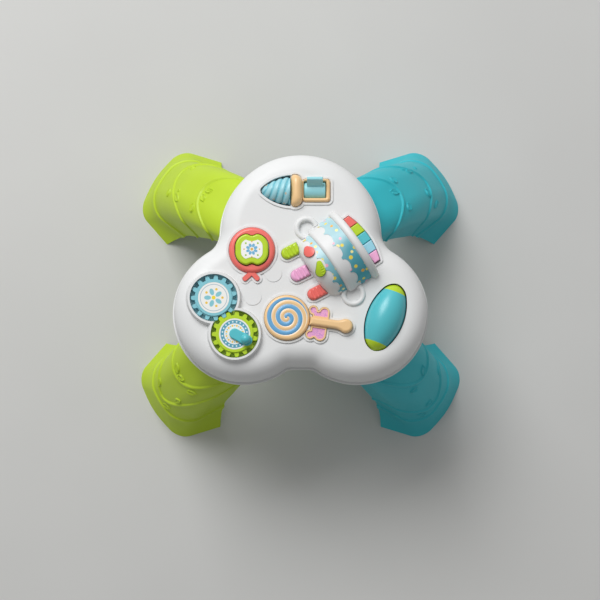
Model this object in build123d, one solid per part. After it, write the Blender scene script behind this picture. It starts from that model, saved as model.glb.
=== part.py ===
from build123d import *
import math
import os

# Sizes in millimetres. +Z is up and the origin is on the floor, midway between the four feet.

# Outline of the table top: one rear lobe, two side lobes, a straight front edge
REAR_LOBE_Y = 48
REAR_LOBE_R = 108
SIDE_LOBE_X = 75
SIDE_LOBE_Y = -57
SIDE_LOBE_R = 95
FRONT_EDGE_Y = -132
SIDE_NOTCH_R = 33
FRONT_NOTCH_R = 14

# Top panel shell
PLATEAU_Z = 250
PANEL_BOTTOM_Z = 207
PANEL_WALL = 3
PANEL_INSET = 2.5
SHOULDER_R = 26
SEAM_DEPTH = 1.2
SEAM_HEIGHT = 1.6
PANEL_UNDER_Z = PLATEAU_Z - PANEL_WALL

# Base shell
BASE_Z = 196
FLOOR = 3
FLOOR_TOP_Z = BASE_Z + FLOOR
BASE_WALL = 3
SHELF_WIDTH = 7
SHELF_THICK = 4
BASE_EDGE_R = 4
LOCATOR_HEIGHT = 6
LOCATOR_WALL = 2

# Clearances
SLIDE_GAP = 0.4
SPIN_GAP = 0.6
PIN_GAP = 0.08
FIT_GAP = 0.2

# A curve flatter than this over its length counts as a straight line
STRAIGHT = 0.0001

# Raised white border round each toy
BORDER_WIDTH = 2.8
BORDER_HEIGHT = 1.8
BORDER_ROOT = 1

# Two low round-ended pads on the plateau: both end points, then the radius
PADS = ((-73, -20, -63, -40.5, 11.5), (-48, 14, -36, -9.5, 11.3))
PAD_HEIGHT = 0.8

# Press keys: flange under the panel, stem above a dome switch on a board
KEY_TRAVEL = 2.5
KEY_EDGE_R = 2.5
PRESS_GAP = 0.3
FLANGE = 1.6
FLANGE_THICK = 2
DOME_R = 3.5
DOME_TOP_R = 2.1
DOME_HEIGHT = 3
BOARD_TOP_Z = 236
BOARD_THICK = 1.6
BOARD_CORNER_R = 3
STEM_R = 2.5
STEM_BOTTOM_Z = BOARD_TOP_Z + DOME_HEIGHT + KEY_TRAVEL + PRESS_GAP
POST_R = 3
POST_MARGIN = 2
MAIN_BOARD_XY = (3, -8)
MAIN_BOARD_ANGLE = 57
MAIN_BOARD = (62, 84)
MAIN_POSTS = ((-34, 8), (-12, 42), (14, -50), (-22, -30))
APPLE_BOARD = (28, 61)
APPLE_POST_REACH = 25.5
PIANO_BOARD_A = 59
PIANO_BOARD = (16, 88)
PIANO_POST_REACH = 39
PIANO_DOME_A = 57

# Legs: the outward direction and sideways offset of each leg's own middle plane
LEG_ANGLE = 33
LEG_OFFSET = 26.5
LEG_WALL = 3
LEG_TOP_Z = BASE_Z
LEG_CAP = 3
# height, face distance, lip distance, half width at the face, half width at the lip, corner radius
LEG_STATIONS = (
    (0, 256, 196, 53, 70, 25),
    (12, 251, 189, 49, 61, 27),
    (30, 245, 179, 46, 52, 30),
    (65, 231, 166, 44, 49, 32),
    (105, 212, 148, 44, 48, 33),
    (145, 185, 128, 43, 47, 33),
    (172, 158, 104, 43, 46, 32),
    (LEG_TOP_Z, 124, 70, 42, 45, 30),
)
RIDGE_HEIGHT = 1.6
# height on the middle plane, slope along the face, width of the raised band
RIDGES = ((33, 0.0, 8), (80, 0.37, 4.5), (131, 0.5, 4.5))
SPIGOT_U = 92
SPIGOT_LENGTH = 32
SPIGOT_WIDTH = 56
SPIGOT_HEIGHT = 12
SPIGOT_R = 6
SPIGOT_WALL = 2.5
SOCKET_WALL = 2

# Gears
GEAR_TEETH = 15
GEAR_PITCH_R = 27.75
GEAR_TIP_R = 30
GEAR_ROOT_R = 25
GEAR_ROUND = 0.8
GEAR_BACKLASH = 0.7
PRESSURE_ANGLE = 20
BLUE_GEAR_XY = (-114.2, -42.9)
GEAR_LINE_ANGLE = -60
WELL_R = 31.6
WELL_FLOOR_Z = 246
WELL_FLOOR = 3
COLLAR_TOP_Z = 258
COLLAR_R = 34.4
COLLAR_FOOT_R = 38.5
GEAR_BOTTOM_Z = WELL_FLOOR_Z + SPIN_GAP
GEAR_TOP_Z = 255
GEAR_RING_R = 24
GEAR_RING_HEIGHT = 2
LABEL_R = 20.5
LABEL_THICK = 1
LABEL_RISE = 0.4
SHAFT_R = 4
WASHER_R = 7
WASHER_THICK = 1.5
SCREW_R = 1.4
SCREW_LENGTH = 8
CRANK_REACH = 18.5
CRANK_ANGLE = -28
CRANK_WIDTH = 14
CRANK_THICK = 4
BALL_R = 6.4
BALL_INSET = 2
BALL_RISE = 0.6 * BALL_R
CRANK_EDGE_R = 1.5

# Lollipop
LOLLY_XY = (-17.8, -69)
LOLLY_R = 30
LOLLY_WELL_DEPTH = 2
LOLLY_TOP_Z = 257
LOLLY_EDGE_R = 3
SPIRAL_HALF_TURNS = 5
SPIRAL_STEP = 11
SPIRAL_WIDTH = 5
SPIRAL_THICK = 1.2
SPIRAL_TAIL_ANGLE = 35
STICK_ANGLE = -8.2
STICK_R = 5.6
STICK_END = 78
STICK_BULB_R = 9.2
STICK_NECK_R = 22
STICK_EDGE_R = 3.9
STICK_HEIGHT = 9
BOW_LOBES = {1: ((33, 15, 6), (47.7, 14, 6.8)), -1: ((33, 17.5, 5.8), (46, 16.5, 7.6))}
BOW_NOTCH_R = 2
BOW_RIM = 2
BOW_HEIGHT = 4
BOW_PANEL_DROP = 1.2

# Apple
APPLE_XY = (-64.1, 20.9)
APPLE_R = 30.5
APPLE_HEIGHT = 7
APPLE_EDGE_R = 0.7 * APPLE_HEIGHT
APPLE_WIDTH = 43.4
APPLE_LENGTH = 41.4
APPLE_CORNER_R = 17
APPLE_NOTCH_R = 8
APPLE_NOTCH_DEPTH = 2.4
APPLE_BUMP_R = 6
APPLE_BUMP_MIN = 1.5
BUTTON_INSET = 1
BUTTON_TOP_Z = 261
APPLE_LABEL_INSET = 7.5
PRONG_R = 3
PRONG_HEIGHT = 4

# Ice cream: swirl roller, collar and frame, flip lever
SWIRL_Y = 101
SWIRL_Z = 245
SWIRL_START_X = -14
SWIRL_LENGTH = 40
SWIRL_R = 19.6
SWIRL_BELLY = (0.55, 0.7)
SWIRL_TIP_R = 5
SWIRL_GROOVE_R = 1.8
SWIRL_GROOVE_RISE = 0.5
SWIRL_GROOVES = 2
SWIRL_LEAD = 21
SWIRL_STEPS = 12
SWIRL_AXLE_R = 1.5
SWIRL_GAP = 0.9
CONE_COLLAR_X = -12.5
CONE_COLLAR_LENGTH = 15.5
CONE_COLLAR_WIDTH = 44
CONE_COLLAR_HEIGHT = 12
CONE_COLLAR_EDGE_R = 3.8
COLLAR_BACK_R = 4
COLLAR_FRONT_R = 10
FRAME_X = 2.5
FRAME_LENGTH = 37
FRAME_WIDTH = 31
FRAME_HEIGHT = 5
FRAME_CORNER_R = 4
FRAME_EDGE_R = 2
WINDOW_X = 4.3
WINDOW_LENGTH = 29.4
WINDOW_WIDTH = 22
WINDOW_CLEAR = 1.2
WINDOW_CORNER_R = 1.5
LEVER_Y = 102
LEVER_Z = 244
LEVER_R = 11.8
LEVER_TRUNNION_R = 2.5
LEVER_TRUNNION = 4
TAB_WIDTH = 21
TAB_THICK = 5
TAB_EDGE_R = 2
LEVER_EDGE_R = 1.5
TAB_REACH = 27
TAB_LEAN = 30

# Cake lying on its side, half sunk: axial distance runs from the top tier to the plate
CAKE_XY = (37, 5.5)
CAKE_ANGLE = 35
CAKE_AXIS_Z = 236
CAKE_WALL = 2.6
CAKE_END = -27
TIER_STEP = -1
TIER_R = 46.5
TIER_END_R = 18
LOWER_TIER_R = 51
LOWER_TIER_END_R = 5
PLATE_START = 35
PLATE_END = 46
PLATE_R = 55
PLATE_EDGE_R = 5
BAND_THICK = 0.5
LOWER_BAND = 13.5
UPPER_BAND = -13
BAND_DRIPS = 6
BAND_SPAN = 144
DRIP_LENGTH = 5.5
DRIP_SHARE = 0.8
DRIP_EDGE = 0.6
LOOP_A = 2
LOOP_B = 53.5
LOOP_R = 13
LOOP_TUBE_R = 3.4
LOOP_POCKET_R = 9.4
LOOP_POCKET_DEPTH = 3
# along and across the cake, turn, half length, half width
FRUITS = {"strawberry_button": (-15.5, 23.5, 90, 8, 7), "pear_button": (-17, -4.5, 65, 10, 6.5)}
FRUIT_NARROW = 0.5
FRUIT_RISE = 2.6
FRUIT_TRAVEL = 2
GUIDE_WALL = 1.6
FRUIT_BOARD = (15, 40)
FRUIT_BOARD_AB = (-14.5, 9)
FRUIT_BOARD_TOP_Z = PLATEAU_Z + 2.7
FRUIT_FLANGE_Z = FRUIT_BOARD_TOP_Z + DOME_HEIGHT + FRUIT_TRAVEL + PRESS_GAP + FLANGE_THICK

# Candle keys
CANDLES = (("lime", -13.5, 19), ("pink", -0.8, -10.6), ("red", 21.1, -35.5))
CANDLE_ANGLE = 27
CANDLE_LENGTH = 25
CANDLE_WIDTH = 15.5
CANDLE_TOP_Z = 257
CANDLE_RIBS = 3
CANDLE_CUTS = 4
CANDLE_GROOVE_R = 2.4
CANDLE_GROOVE_RISE = 1.3
CANDLE_EDGE_R = 4

# Piano keys, in the cake's own directions
PIANO_COLOURS = ("coral", "lime", "teal", "sky", "pink")
PIANO_INNER = 48.5
PIANO_OUTER = 63
PIANO_END_OUTER = 56.5
PIANO_HALF = 35.8
PIANO_B = -1
PIANO_GAP = 0.6
PIANO_TOP_Z = 256
PIANO_BOTTOM_Z = 240.5
PIANO_EDGE_R = 1.2
PIANO_SLOT_GAP = 1
PIANO_BORDER_ROOT = 5
PIANO_ROD_A = 43.5
PIANO_ROD_Z = 243.5
PIANO_ROD_R = 1.5
PIANO_ARM_WIDTH = 8
PIANO_ARM_THICK = 5
PIANO_ARM_BITE = 2
PIANO_LUG = 2.2
PIANO_LUG_TOP_Z = 243.6

# Egg-shaped roller
ROLLER_XY = (111.6, -68)
ROLLER_ANGLE = 69.4
ROLLER_Z = 243
ROLLER_HALF = 46.5
ROLLER_R = 24.4
ROLLER_CAP_R = 15.6
ROLLER_CAP_A = 35.5
ROLLER_WEB = 2
ROLLER_WALL = 2.5
ROLLER_GAP = 0.9
ROLLER_AXLE_R = 2
BEARING_THICK = 5
BEARING_WIDTH = 10
BEARING_DROP = 4

# Inside the base
BATTERY_XY = (0, -25)
CELL_R = 7.1
CELL_LENGTH = 50.4
CELL_COUNT = 3
CELL_PITCH = 14.8
BATTERY_LENGTH = 59
BATTERY_WIDTH = 47
BATTERY_HEIGHT = 17
BATTERY_WALL = 2
DOOR_THICK = 2.2
DOOR_TAB = (10, 14)
DOOR_SCREW_X = BATTERY_XY[0] + BATTERY_LENGTH / 2 + 5.5
DOOR_SCREW_R = 1.3
DOOR_SCREW_LENGTH = 5
DOOR_SCREW_HEAD = (2.8, 1.4)
DOOR_BOSS_R = 4
CONTACT_THICK = 0.5
SPEAKER_XY = (0, 72)
SPEAKER_R = 25
SPEAKER_HEIGHT = 15
SPEAKER_MAGNET_R = 12
GRILLE_HOLE_R = 1.6
GRILLE_RINGS = ((0, 1), (7, 6), (14, 12))
SWITCH_XY = (0, 22)
SWITCH_TRAVEL = 6
SWITCH_KNOB = (7, 5)
SWITCH_FLANGE = (20, 9)
SWITCH_DROP = 2
BOSS_XY = ((0, 140), (-92, 38), (122, 2), (-152, -75), (125, -118), (-50, -128), (50, -128))
BOSS_R = 4.2
BOSS_JOINT_Z = FLOOR_TOP_Z + 4
BOSS_HEAD_R = 3.4
PANEL_SCREW_R = 1.5
PANEL_SCREW_LENGTH = 12
PANEL_SCREW_HEAD = 2.2


def lay(x, y, z=0, angle=0):
    """Place at a plan position, turned about Z."""
    return Pos(x, y, z) * Rot(0, 0, angle)


def prism(outline, low, high):
    """Stand an outline up between two heights."""
    return Pos(0, 0, low) * extrude(outline, high - low, dir=(0, 0, 1))


def disc(x, y, radius, low, high):
    """Upright cylinder between two heights."""
    return prism(Pos(x, y) * Circle(radius), low, high)


def rod_x(radius, start, end):
    """Cylinder along X."""
    return Pos((start + end) / 2, 0, 0) * Rot(0, 90, 0) * Cylinder(radius, end - start)


def capsule(x1, y1, x2, y2, radius):
    """Stadium outline between two points."""
    length = math.hypot(x2 - x1, y2 - y1)
    angle = math.degrees(math.atan2(y2 - y1, x2 - x1))
    return lay((x1 + x2) / 2, (y1 + y2) / 2, 0, angle) * SlotCenterToCenter(length, 2 * radius)


def parallel(outline, amount):
    """Outline moved out by an amount, drawn in plain lines and arcs."""
    result = Sketch()
    for face in outline.faces():
        moved = offset(face, amount).face()
        curves = []
        for edge in moved.outer_wire().edges():
            start, middle, end = edge @ 0, edge @ 0.5, edge @ 1
            straight = (middle - (start + end) / 2).length < STRAIGHT
            curves.append(Line(start, end) if straight else ThreePointArc(start, middle, end))
        result += make_face(curves) if len(curves) > 1 else moved
    return result


def border(outline, gap, root=BORDER_ROOT):
    """Raised rim that follows an outline at a gap."""
    ring = parallel(outline, gap + BORDER_WIDTH) - parallel(outline, gap)
    return prism(ring, PLATEAU_Z - root, PLATEAU_Z + BORDER_HEIGHT)


def trefoil(inset=0):
    """Outline of the table top, drawn in by an inset."""
    lobes = Pos(0, REAR_LOBE_Y) * Circle(REAR_LOBE_R - inset)
    for side in (-1, 1):
        lobes += Pos(side * SIDE_LOBE_X, SIDE_LOBE_Y) * Circle(SIDE_LOBE_R - inset)
    front_y = FRONT_EDGE_Y + inset
    lobes += Pos(0, front_y / 2) * Rectangle(2 * SIDE_LOBE_X, -front_y)
    side_notches = lobes.vertices().filter_by(lambda v: abs(v.X) > SIDE_LOBE_X and v.Y > 0)
    lobes = fillet(side_notches, SIDE_NOTCH_R + inset)
    front_notches = lobes.vertices().filter_by(lambda v: abs(v.Y - front_y) < STRAIGHT)
    return fillet(front_notches, FRONT_NOTCH_R + inset)


def panel_form(wall):
    """Solid form of the panel with its rounded shoulder, drawn in by a wall."""
    block = prism(trefoil(PANEL_INSET + wall), PANEL_BOTTOM_Z, PLATEAU_Z - wall)
    return fillet(block.edges().group_by(Axis.Z)[-1], SHOULDER_R - wall)


# Plan positions that several pieces share
GREEN_GEAR_XY = (
    BLUE_GEAR_XY[0] + 2 * GEAR_PITCH_R * math.cos(math.radians(GEAR_LINE_ANGLE)),
    BLUE_GEAR_XY[1] + 2 * GEAR_PITCH_R * math.sin(math.radians(GEAR_LINE_ANGLE)),
)
GEAR_CENTRES = (BLUE_GEAR_XY, GREEN_GEAR_XY)
CAKE = lay(*CAKE_XY, 0, CAKE_ANGLE)
ROLLER = lay(*ROLLER_XY, 0, ROLLER_ANGLE)
STICK = lay(*LOLLY_XY, 0, STICK_ANGLE)


def apple_outline(inset=0):
    """Apple shape: a plump round form dipped above and below, drawn in by an inset."""
    shape = RectangleRounded(APPLE_WIDTH - 2 * inset, APPLE_LENGTH - 2 * inset, APPLE_CORNER_R - inset)
    for side in (-1, 1):
        dip = APPLE_LENGTH / 2 + APPLE_NOTCH_R - APPLE_NOTCH_DEPTH
        shape -= Pos(0, side * dip) * Circle(APPLE_NOTCH_R + inset)
    shoulders = shape.vertices().filter_by(lambda v: abs(v.X) < APPLE_WIDTH / 4)
    return Pos(*APPLE_XY) * fillet(shoulders, max(APPLE_BUMP_R - inset, APPLE_BUMP_MIN))


def apple_prongs():
    """Two-pronged stem below the apple ring."""
    x, y = APPLE_XY
    prongs = capsule(x, y - APPLE_R + 1, x - 9, y - APPLE_R - 7.5, PRONG_R)
    return prongs + capsule(x, y - APPLE_R + 1, x + 7, y - APPLE_R - 7, PRONG_R)


def apple_ring():
    """Outer outline of the apple bezel."""
    return Pos(*APPLE_XY) * Circle(APPLE_R) + apple_prongs()


def candle_outline(x, y):
    """Rounded candle key in plan; its outer end is a half round."""
    half = CANDLE_LENGTH / 2
    body = Pos(CANDLE_WIDTH / 4, 0) * Rectangle(CANDLE_LENGTH - CANDLE_WIDTH / 2, CANDLE_WIDTH)
    body += Pos(CANDLE_WIDTH / 2 - half, 0) * Circle(CANDLE_WIDTH / 2)
    return lay(x, y, 0, CANDLE_ANGLE) * body


def swirl_outline():
    """Ogive of the swirl, its axis along -X from the collar to the round tip."""
    along, out = SWIRL_BELLY
    curves = [Line((0, -SWIRL_R), (0, SWIRL_R))]
    for side in (-1, 1):
        belly = (-SWIRL_LENGTH * along, side * SWIRL_R * out)
        curves.append(ThreePointArc((0, side * SWIRL_R), belly, (-SWIRL_LENGTH, 0)))
    ogive = make_face(curves)
    return fillet(ogive.vertices().sort_by(Axis.X)[:1], SWIRL_TIP_R)


def swirl_opening():
    """Opening for the swirl roller where it passes the panel."""
    return Pos(SWIRL_START_X, SWIRL_Y) * parallel(swirl_outline(), SWIRL_GAP)


def frame_window():
    """Window of the cone frame."""
    middle = WINDOW_X + WINDOW_LENGTH / 2
    return Pos(middle, LEVER_Y) * RectangleRounded(WINDOW_LENGTH, WINDOW_WIDTH, WINDOW_CORNER_R)


def collar_outline():
    """Outline of the cone's collar."""
    middle = CONE_COLLAR_X + CONE_COLLAR_LENGTH / 2
    block = Rectangle(CONE_COLLAR_LENGTH, CONE_COLLAR_WIDTH)
    block = fillet(block.vertices().group_by(Axis.X)[0], COLLAR_BACK_R)
    return Pos(middle, SWIRL_Y) * fillet(block.vertices().group_by(Axis.X)[-1], COLLAR_FRONT_R)


def frame_outline():
    """Outline of the cone frame."""
    middle = FRAME_X + FRAME_LENGTH / 2
    return Pos(middle, SWIRL_Y) * RectangleRounded(FRAME_LENGTH, FRAME_WIDTH, FRAME_CORNER_R)


def keyboard(grow=0):
    """Row of piano keys in the cake's directions: straight inside, bowed outside."""
    sagitta = PIANO_OUTER - PIANO_END_OUTER
    bow_r = (PIANO_HALF ** 2 + sagitta ** 2) / (2 * sagitta)
    inner = PIANO_INNER - grow
    outer = PIANO_OUTER + grow
    block = Pos((inner + outer) / 2, PIANO_B) * Rectangle(outer - inner, 2 * (PIANO_HALF + grow))
    return block & Pos(PIANO_OUTER - bow_r, PIANO_B) * Circle(bow_r + grow)


def roller_profile(shrink=0):
    """Half section of the egg roller, above its axis: bowed barrel and round ends that leave it smoothly."""
    half = ROLLER_HALF - shrink
    seam_r = ROLLER_CAP_R - shrink
    barrel = ThreePointArc((-ROLLER_CAP_A, seam_r), (0, ROLLER_R - shrink), (ROLLER_CAP_A, seam_r))
    cap = TangentArc((ROLLER_CAP_A, seam_r), (half, 0), tangent=barrel % 1)
    return make_face([barrel, cap, mirror(cap, about=Plane.YZ), Line((-half, 0), (half, 0))])


def roller_opening():
    """Opening where the egg roller passes the panel."""
    upper = roller_profile()
    return ROLLER * parallel(upper + mirror(upper, about=Plane.XZ), ROLLER_GAP)


def lolly_wings(shrink=0):
    """Two wings of the bow beside the stick."""
    wings = Sketch()
    for side, lobes in BOW_LOBES.items():
        (near_x, near_y, near_r), (far_x, far_y, far_r) = lobes
        inner = STICK_R + FIT_GAP
        end_x = far_x + far_r
        wing = Polygon((near_x, inner), (end_x, inner), (end_x, far_y), (near_x, near_y), align=None)
        for x, y, radius in lobes:
            wing += Pos(x, y) * Circle(radius)
        wing -= Rectangle(4 * far_x, 2 * inner)
        wing -= Circle(LOLLY_R + SPIN_GAP + FIT_GAP)
        notch = wing.vertices().sort_by_distance((near_x / 2 + far_x / 2, far_y + far_r, 0))[:1]
        wing = fillet(notch, BOW_NOTCH_R)
        wing = mirror(wing, about=Plane.XZ) if side < 0 else wing
        wings += parallel(wing, -shrink) if shrink else wing
    return STICK * wings


def stick_outline():
    """Lollipop stick from the disc's edge to its bulb end."""
    stick = Pos(STICK_END / 2, 0) * Rectangle(STICK_END, 2 * STICK_R)
    stick += Pos(STICK_END, 0) * Circle(STICK_BULB_R)
    stick -= Circle(LOLLY_R + SPIN_GAP)
    neck = stick.vertices().filter_by(lambda v: v.X > LOLLY_R + 2 * STICK_R)
    return STICK * fillet(neck, STICK_NECK_R)


def cake_profile(inset):
    """Half section of the cake above its axis: top tier, lower tier, plate bead."""
    def tier(start, end, radius, rounds):
        block = Pos((start + end) / 2, radius / 2) * Rectangle(end - start, radius)
        corners = block.vertices().group_by(Axis.Y)[-1].sort_by(Axis.X)
        for corner, size in zip(corners, rounds):
            if size > 0:
                near = block.vertices().sort_by_distance(corner)[0]
                block = fillet(near, size)
        return block

    profile = tier(CAKE_END + inset, LOWER_TIER_END_R, TIER_R - inset, (TIER_END_R - inset, 0))
    lower_ends = (LOWER_TIER_END_R - inset, 0)
    profile += tier(TIER_STEP + inset, PLATE_START + PLATE_EDGE_R, LOWER_TIER_R - inset, lower_ends)
    rim = PLATE_EDGE_R - inset
    profile += tier(PLATE_START + inset, PLATE_END - inset, PLATE_R - inset, (rim, rim))
    return profile


def cake_solid(inset):
    """Cake turned about its axis, above the plateau."""
    barrel = revolve(Plane.XZ * cake_profile(inset), Axis.X, 360)
    barrel = CAKE * Pos(0, 0, CAKE_AXIS_Z) * barrel
    room = CAKE * Pos(0, 0, PLATEAU_Z + PLATE_R) * Box(4 * PLATE_R, 4 * PLATE_R, 2 * PLATE_R)
    return barrel & room


def fruit_outline(name, grow=0):
    """Egg outline of a fruit button in plan, blunt end and narrow end."""
    along, across, turn, half_long, half_wide = FRUITS[name]
    narrow = half_wide * FRUIT_NARROW
    blunt = Pos(half_wide - half_long, 0) * Circle(half_wide + grow)
    egg = make_hull((blunt + Pos(half_long - narrow, 0) * Circle(narrow + grow)).edges())
    return CAKE * Pos(along, across) * Rot(0, 0, turn) * egg


def gear_outline(first_tooth):
    """Spur gear with involute flanks, one tooth pointing at the given angle."""
    base_r = GEAR_PITCH_R * math.cos(math.radians(PRESSURE_ANGLE))

    def involute(radius):
        angle = math.acos(min(1, base_r / radius))
        return math.tan(angle) - angle

    pitch_half = math.pi / (2 * GEAR_TEETH) - GEAR_BACKLASH / (4 * GEAR_PITCH_R)

    def flank(radius, side):
        half = pitch_half + involute(GEAR_PITCH_R) - involute(max(radius, base_r))
        return (radius * math.cos(half), side * radius * math.sin(half))

    middle_r = (base_r + GEAR_TIP_R) / 2
    left = ThreePointArc(flank(base_r, 1), flank(middle_r, 1), flank(GEAR_TIP_R, 1))
    right = ThreePointArc(flank(base_r, -1), flank(middle_r, -1), flank(GEAR_TIP_R, -1))
    tip = ThreePointArc(flank(GEAR_TIP_R, 1), (GEAR_TIP_R, 0), flank(GEAR_TIP_R, -1))
    root_in = GEAR_ROOT_R - 2
    foot = Polyline(flank(base_r, 1), flank(root_in, 1), flank(root_in, -1), flank(base_r, -1))
    tooth = make_face([left, tip, right, foot])
    outline = Circle(GEAR_ROOT_R)
    for k in range(GEAR_TEETH):
        outline += Rot(0, 0, first_tooth + 360 * k / GEAR_TEETH) * tooth
    for radius in (GEAR_ROOT_R, GEAR_TIP_R):
        corners = outline.vertices().filter_by(lambda v: abs(math.hypot(v.X, v.Y) - radius) < STRAIGHT)
        outline = fillet(corners, GEAR_ROUND)
    return outline


def spinner_screw(x, y, seat_z):
    """Washer-head screw that holds a spinning shaft from below the panel."""
    washer = disc(x, y, WASHER_R, seat_z - WASHER_THICK, seat_z)
    return washer + disc(x, y, SCREW_R, seat_z, seat_z + SCREW_LENGTH)


def gear(centre, first_tooth):
    """Gear with a raised ring, a label recess and a shaft through the well floor."""
    x, y = centre
    floor_under = WELL_FLOOR_Z - WELL_FLOOR
    body = Pos(x, y) * prism(gear_outline(first_tooth), GEAR_BOTTOM_Z, GEAR_TOP_Z)
    body += disc(x, y, GEAR_RING_R, GEAR_TOP_Z, GEAR_TOP_Z + GEAR_RING_HEIGHT)
    body -= disc(x, y, LABEL_R + FIT_GAP / 2, GEAR_TOP_Z, GEAR_TOP_Z + GEAR_RING_HEIGHT)
    body += disc(x, y, SHAFT_R, floor_under - SPIN_GAP, GEAR_BOTTOM_Z)
    seat_z = floor_under - SPIN_GAP
    return body - disc(x, y, SCREW_R, seat_z, seat_z + SCREW_LENGTH)


def top_panel():
    """White upper shell with wells, openings, borders, bearings and bosses."""
    outer = panel_form(0)
    hollow = panel_form(PANEL_WALL)
    shell = outer - hollow
    seam = prism(trefoil(0) - trefoil(PANEL_INSET + SEAM_DEPTH), PANEL_BOTTOM_Z, PANEL_BOTTOM_Z + SEAM_HEIGHT)
    shell -= seam
    floor_under = WELL_FLOOR_Z - WELL_FLOOR
    for x, y in GEAR_CENTRES:
        cone_z = (floor_under + COLLAR_TOP_Z) / 2
        shell += Pos(x, y, cone_z) * Cone(COLLAR_FOOT_R, COLLAR_R, COLLAR_TOP_Z - floor_under)
    for x, y in GEAR_CENTRES:
        shell -= disc(x, y, WELL_R, WELL_FLOOR_Z, COLLAR_TOP_Z)
        shell -= disc(x, y, SHAFT_R + PIN_GAP, floor_under, WELL_FLOOR_Z)
    lx, ly = LOLLY_XY
    lolly_under = PANEL_UNDER_Z - LOLLY_WELL_DEPTH
    shell += disc(lx, ly, LOLLY_R + SPIN_GAP + PANEL_WALL, lolly_under, PANEL_UNDER_Z)
    shell -= disc(lx, ly, LOLLY_R + SPIN_GAP, PLATEAU_Z - LOLLY_WELL_DEPTH, PLATEAU_Z)
    shell -= disc(lx, ly, SHAFT_R + PIN_GAP, lolly_under, PLATEAU_Z)

    for x1, y1, x2, y2, radius in PADS:
        shell += prism(capsule(x1, y1, x2, y2, radius), PLATEAU_Z - BORDER_ROOT, PLATEAU_Z + PAD_HEIGHT)
    shell -= prism(parallel(apple_ring(), SPIN_GAP), PLATEAU_Z, PLATEAU_Z + PAD_HEIGHT)
    ring = Pos(*LOLLY_XY) * Circle(LOLLY_R)
    for outline in (ring + stick_outline() + lolly_wings(), apple_ring()):
        shell += border(outline, SPIN_GAP)
    shell += border(swirl_opening() + collar_outline() + frame_outline(), SPIN_GAP)
    for name, x, y in CANDLES:
        shell += border(candle_outline(x, y), SLIDE_GAP)
    shell += CAKE * border(keyboard(), PIANO_SLOT_GAP, PIANO_BORDER_ROOT) - hollow
    shell -= prism(ring + stick_outline(), PLATEAU_Z, PLATEAU_Z + BORDER_HEIGHT)
    shell -= disc(lx, ly, LOLLY_R + SPIN_GAP, PLATEAU_Z - LOLLY_WELL_DEPTH, PLATEAU_Z + BORDER_HEIGHT)
    shell -= cake_solid(0)

    for side in (-1, 1):
        place = CAKE * Pos(LOOP_A, side * LOOP_B)
        shell += place * disc(0, 0, LOOP_POCKET_R + PANEL_WALL, PANEL_UNDER_Z - PANEL_WALL, PANEL_UNDER_Z)
        loop = place * Pos(0, 0, PLATEAU_Z) * Torus(LOOP_R, LOOP_TUBE_R)
        shell += loop - cake_solid(-BAND_THICK)
        pocket = place * disc(0, 0, LOOP_POCKET_R, PLATEAU_Z - LOOP_POCKET_DEPTH, PLATEAU_Z + LOOP_TUBE_R)
        shell -= pocket

    shell -= prism(parallel(apple_outline(), SLIDE_GAP), PANEL_UNDER_Z, PLATEAU_Z)
    for name, x, y in CANDLES:
        shell -= prism(parallel(candle_outline(x, y), SLIDE_GAP), PANEL_UNDER_Z, PLATEAU_Z + BORDER_HEIGHT)
    shell -= prism(swirl_opening(), PANEL_UNDER_Z, PLATEAU_Z)
    shell -= prism(parallel(frame_window(), WINDOW_CLEAR), PANEL_UNDER_Z, PLATEAU_Z)
    slot_low = PIANO_BOTTOM_Z - PIANO_SLOT_GAP
    shell -= CAKE * prism(keyboard(PIANO_SLOT_GAP), slot_low, PLATEAU_Z + BORDER_HEIGHT)
    shell -= CAKE * prism(keyboard(PIANO_LUG + SLIDE_GAP), slot_low, PIANO_LUG_TOP_Z + SLIDE_GAP)
    apple_flange = parallel(apple_outline(), FLANGE + SLIDE_GAP)
    shell -= prism(apple_flange, PANEL_UNDER_Z - FLANGE_THICK - KEY_TRAVEL, PANEL_UNDER_Z)
    shell -= prism(roller_opening(), PANEL_UNDER_Z - PANEL_WALL, PLATEAU_Z)
    shell += bearings()
    shell += board_posts()
    for x, y in BOSS_XY:
        boss = disc(x, y, BOSS_R, BOSS_JOINT_Z, PLATEAU_Z) & outer
        shell += boss
        shell -= disc(x, y, PANEL_SCREW_R, BOSS_JOINT_Z, BOSS_JOINT_Z + PANEL_SCREW_LENGTH)
    return shell


def bearing(radius, axis_z):
    """Hanging bearing plate with a hole along X."""
    low = axis_z - radius - BEARING_DROP
    plate = Pos(0, 0, (low + PANEL_UNDER_Z) / 2) * Box(BEARING_THICK, BEARING_WIDTH, PANEL_UNDER_Z - low)
    return plate - Pos(0, 0, axis_z) * rod_x(radius + PIN_GAP, -BEARING_THICK, BEARING_THICK)


def swirl_bearing_x():
    """Bearing places of the swirl roller's axle."""
    near = SWIRL_START_X + SWIRL_GAP + BEARING_THICK / 2
    far = SWIRL_START_X - SWIRL_LENGTH - SWIRL_GAP - BEARING_THICK / 2
    return near, far


def lever_bearing_x():
    """Bearing places of the flip lever's trunnions."""
    return WINDOW_X - BEARING_THICK / 2, WINDOW_X + WINDOW_LENGTH + BEARING_THICK / 2


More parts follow.
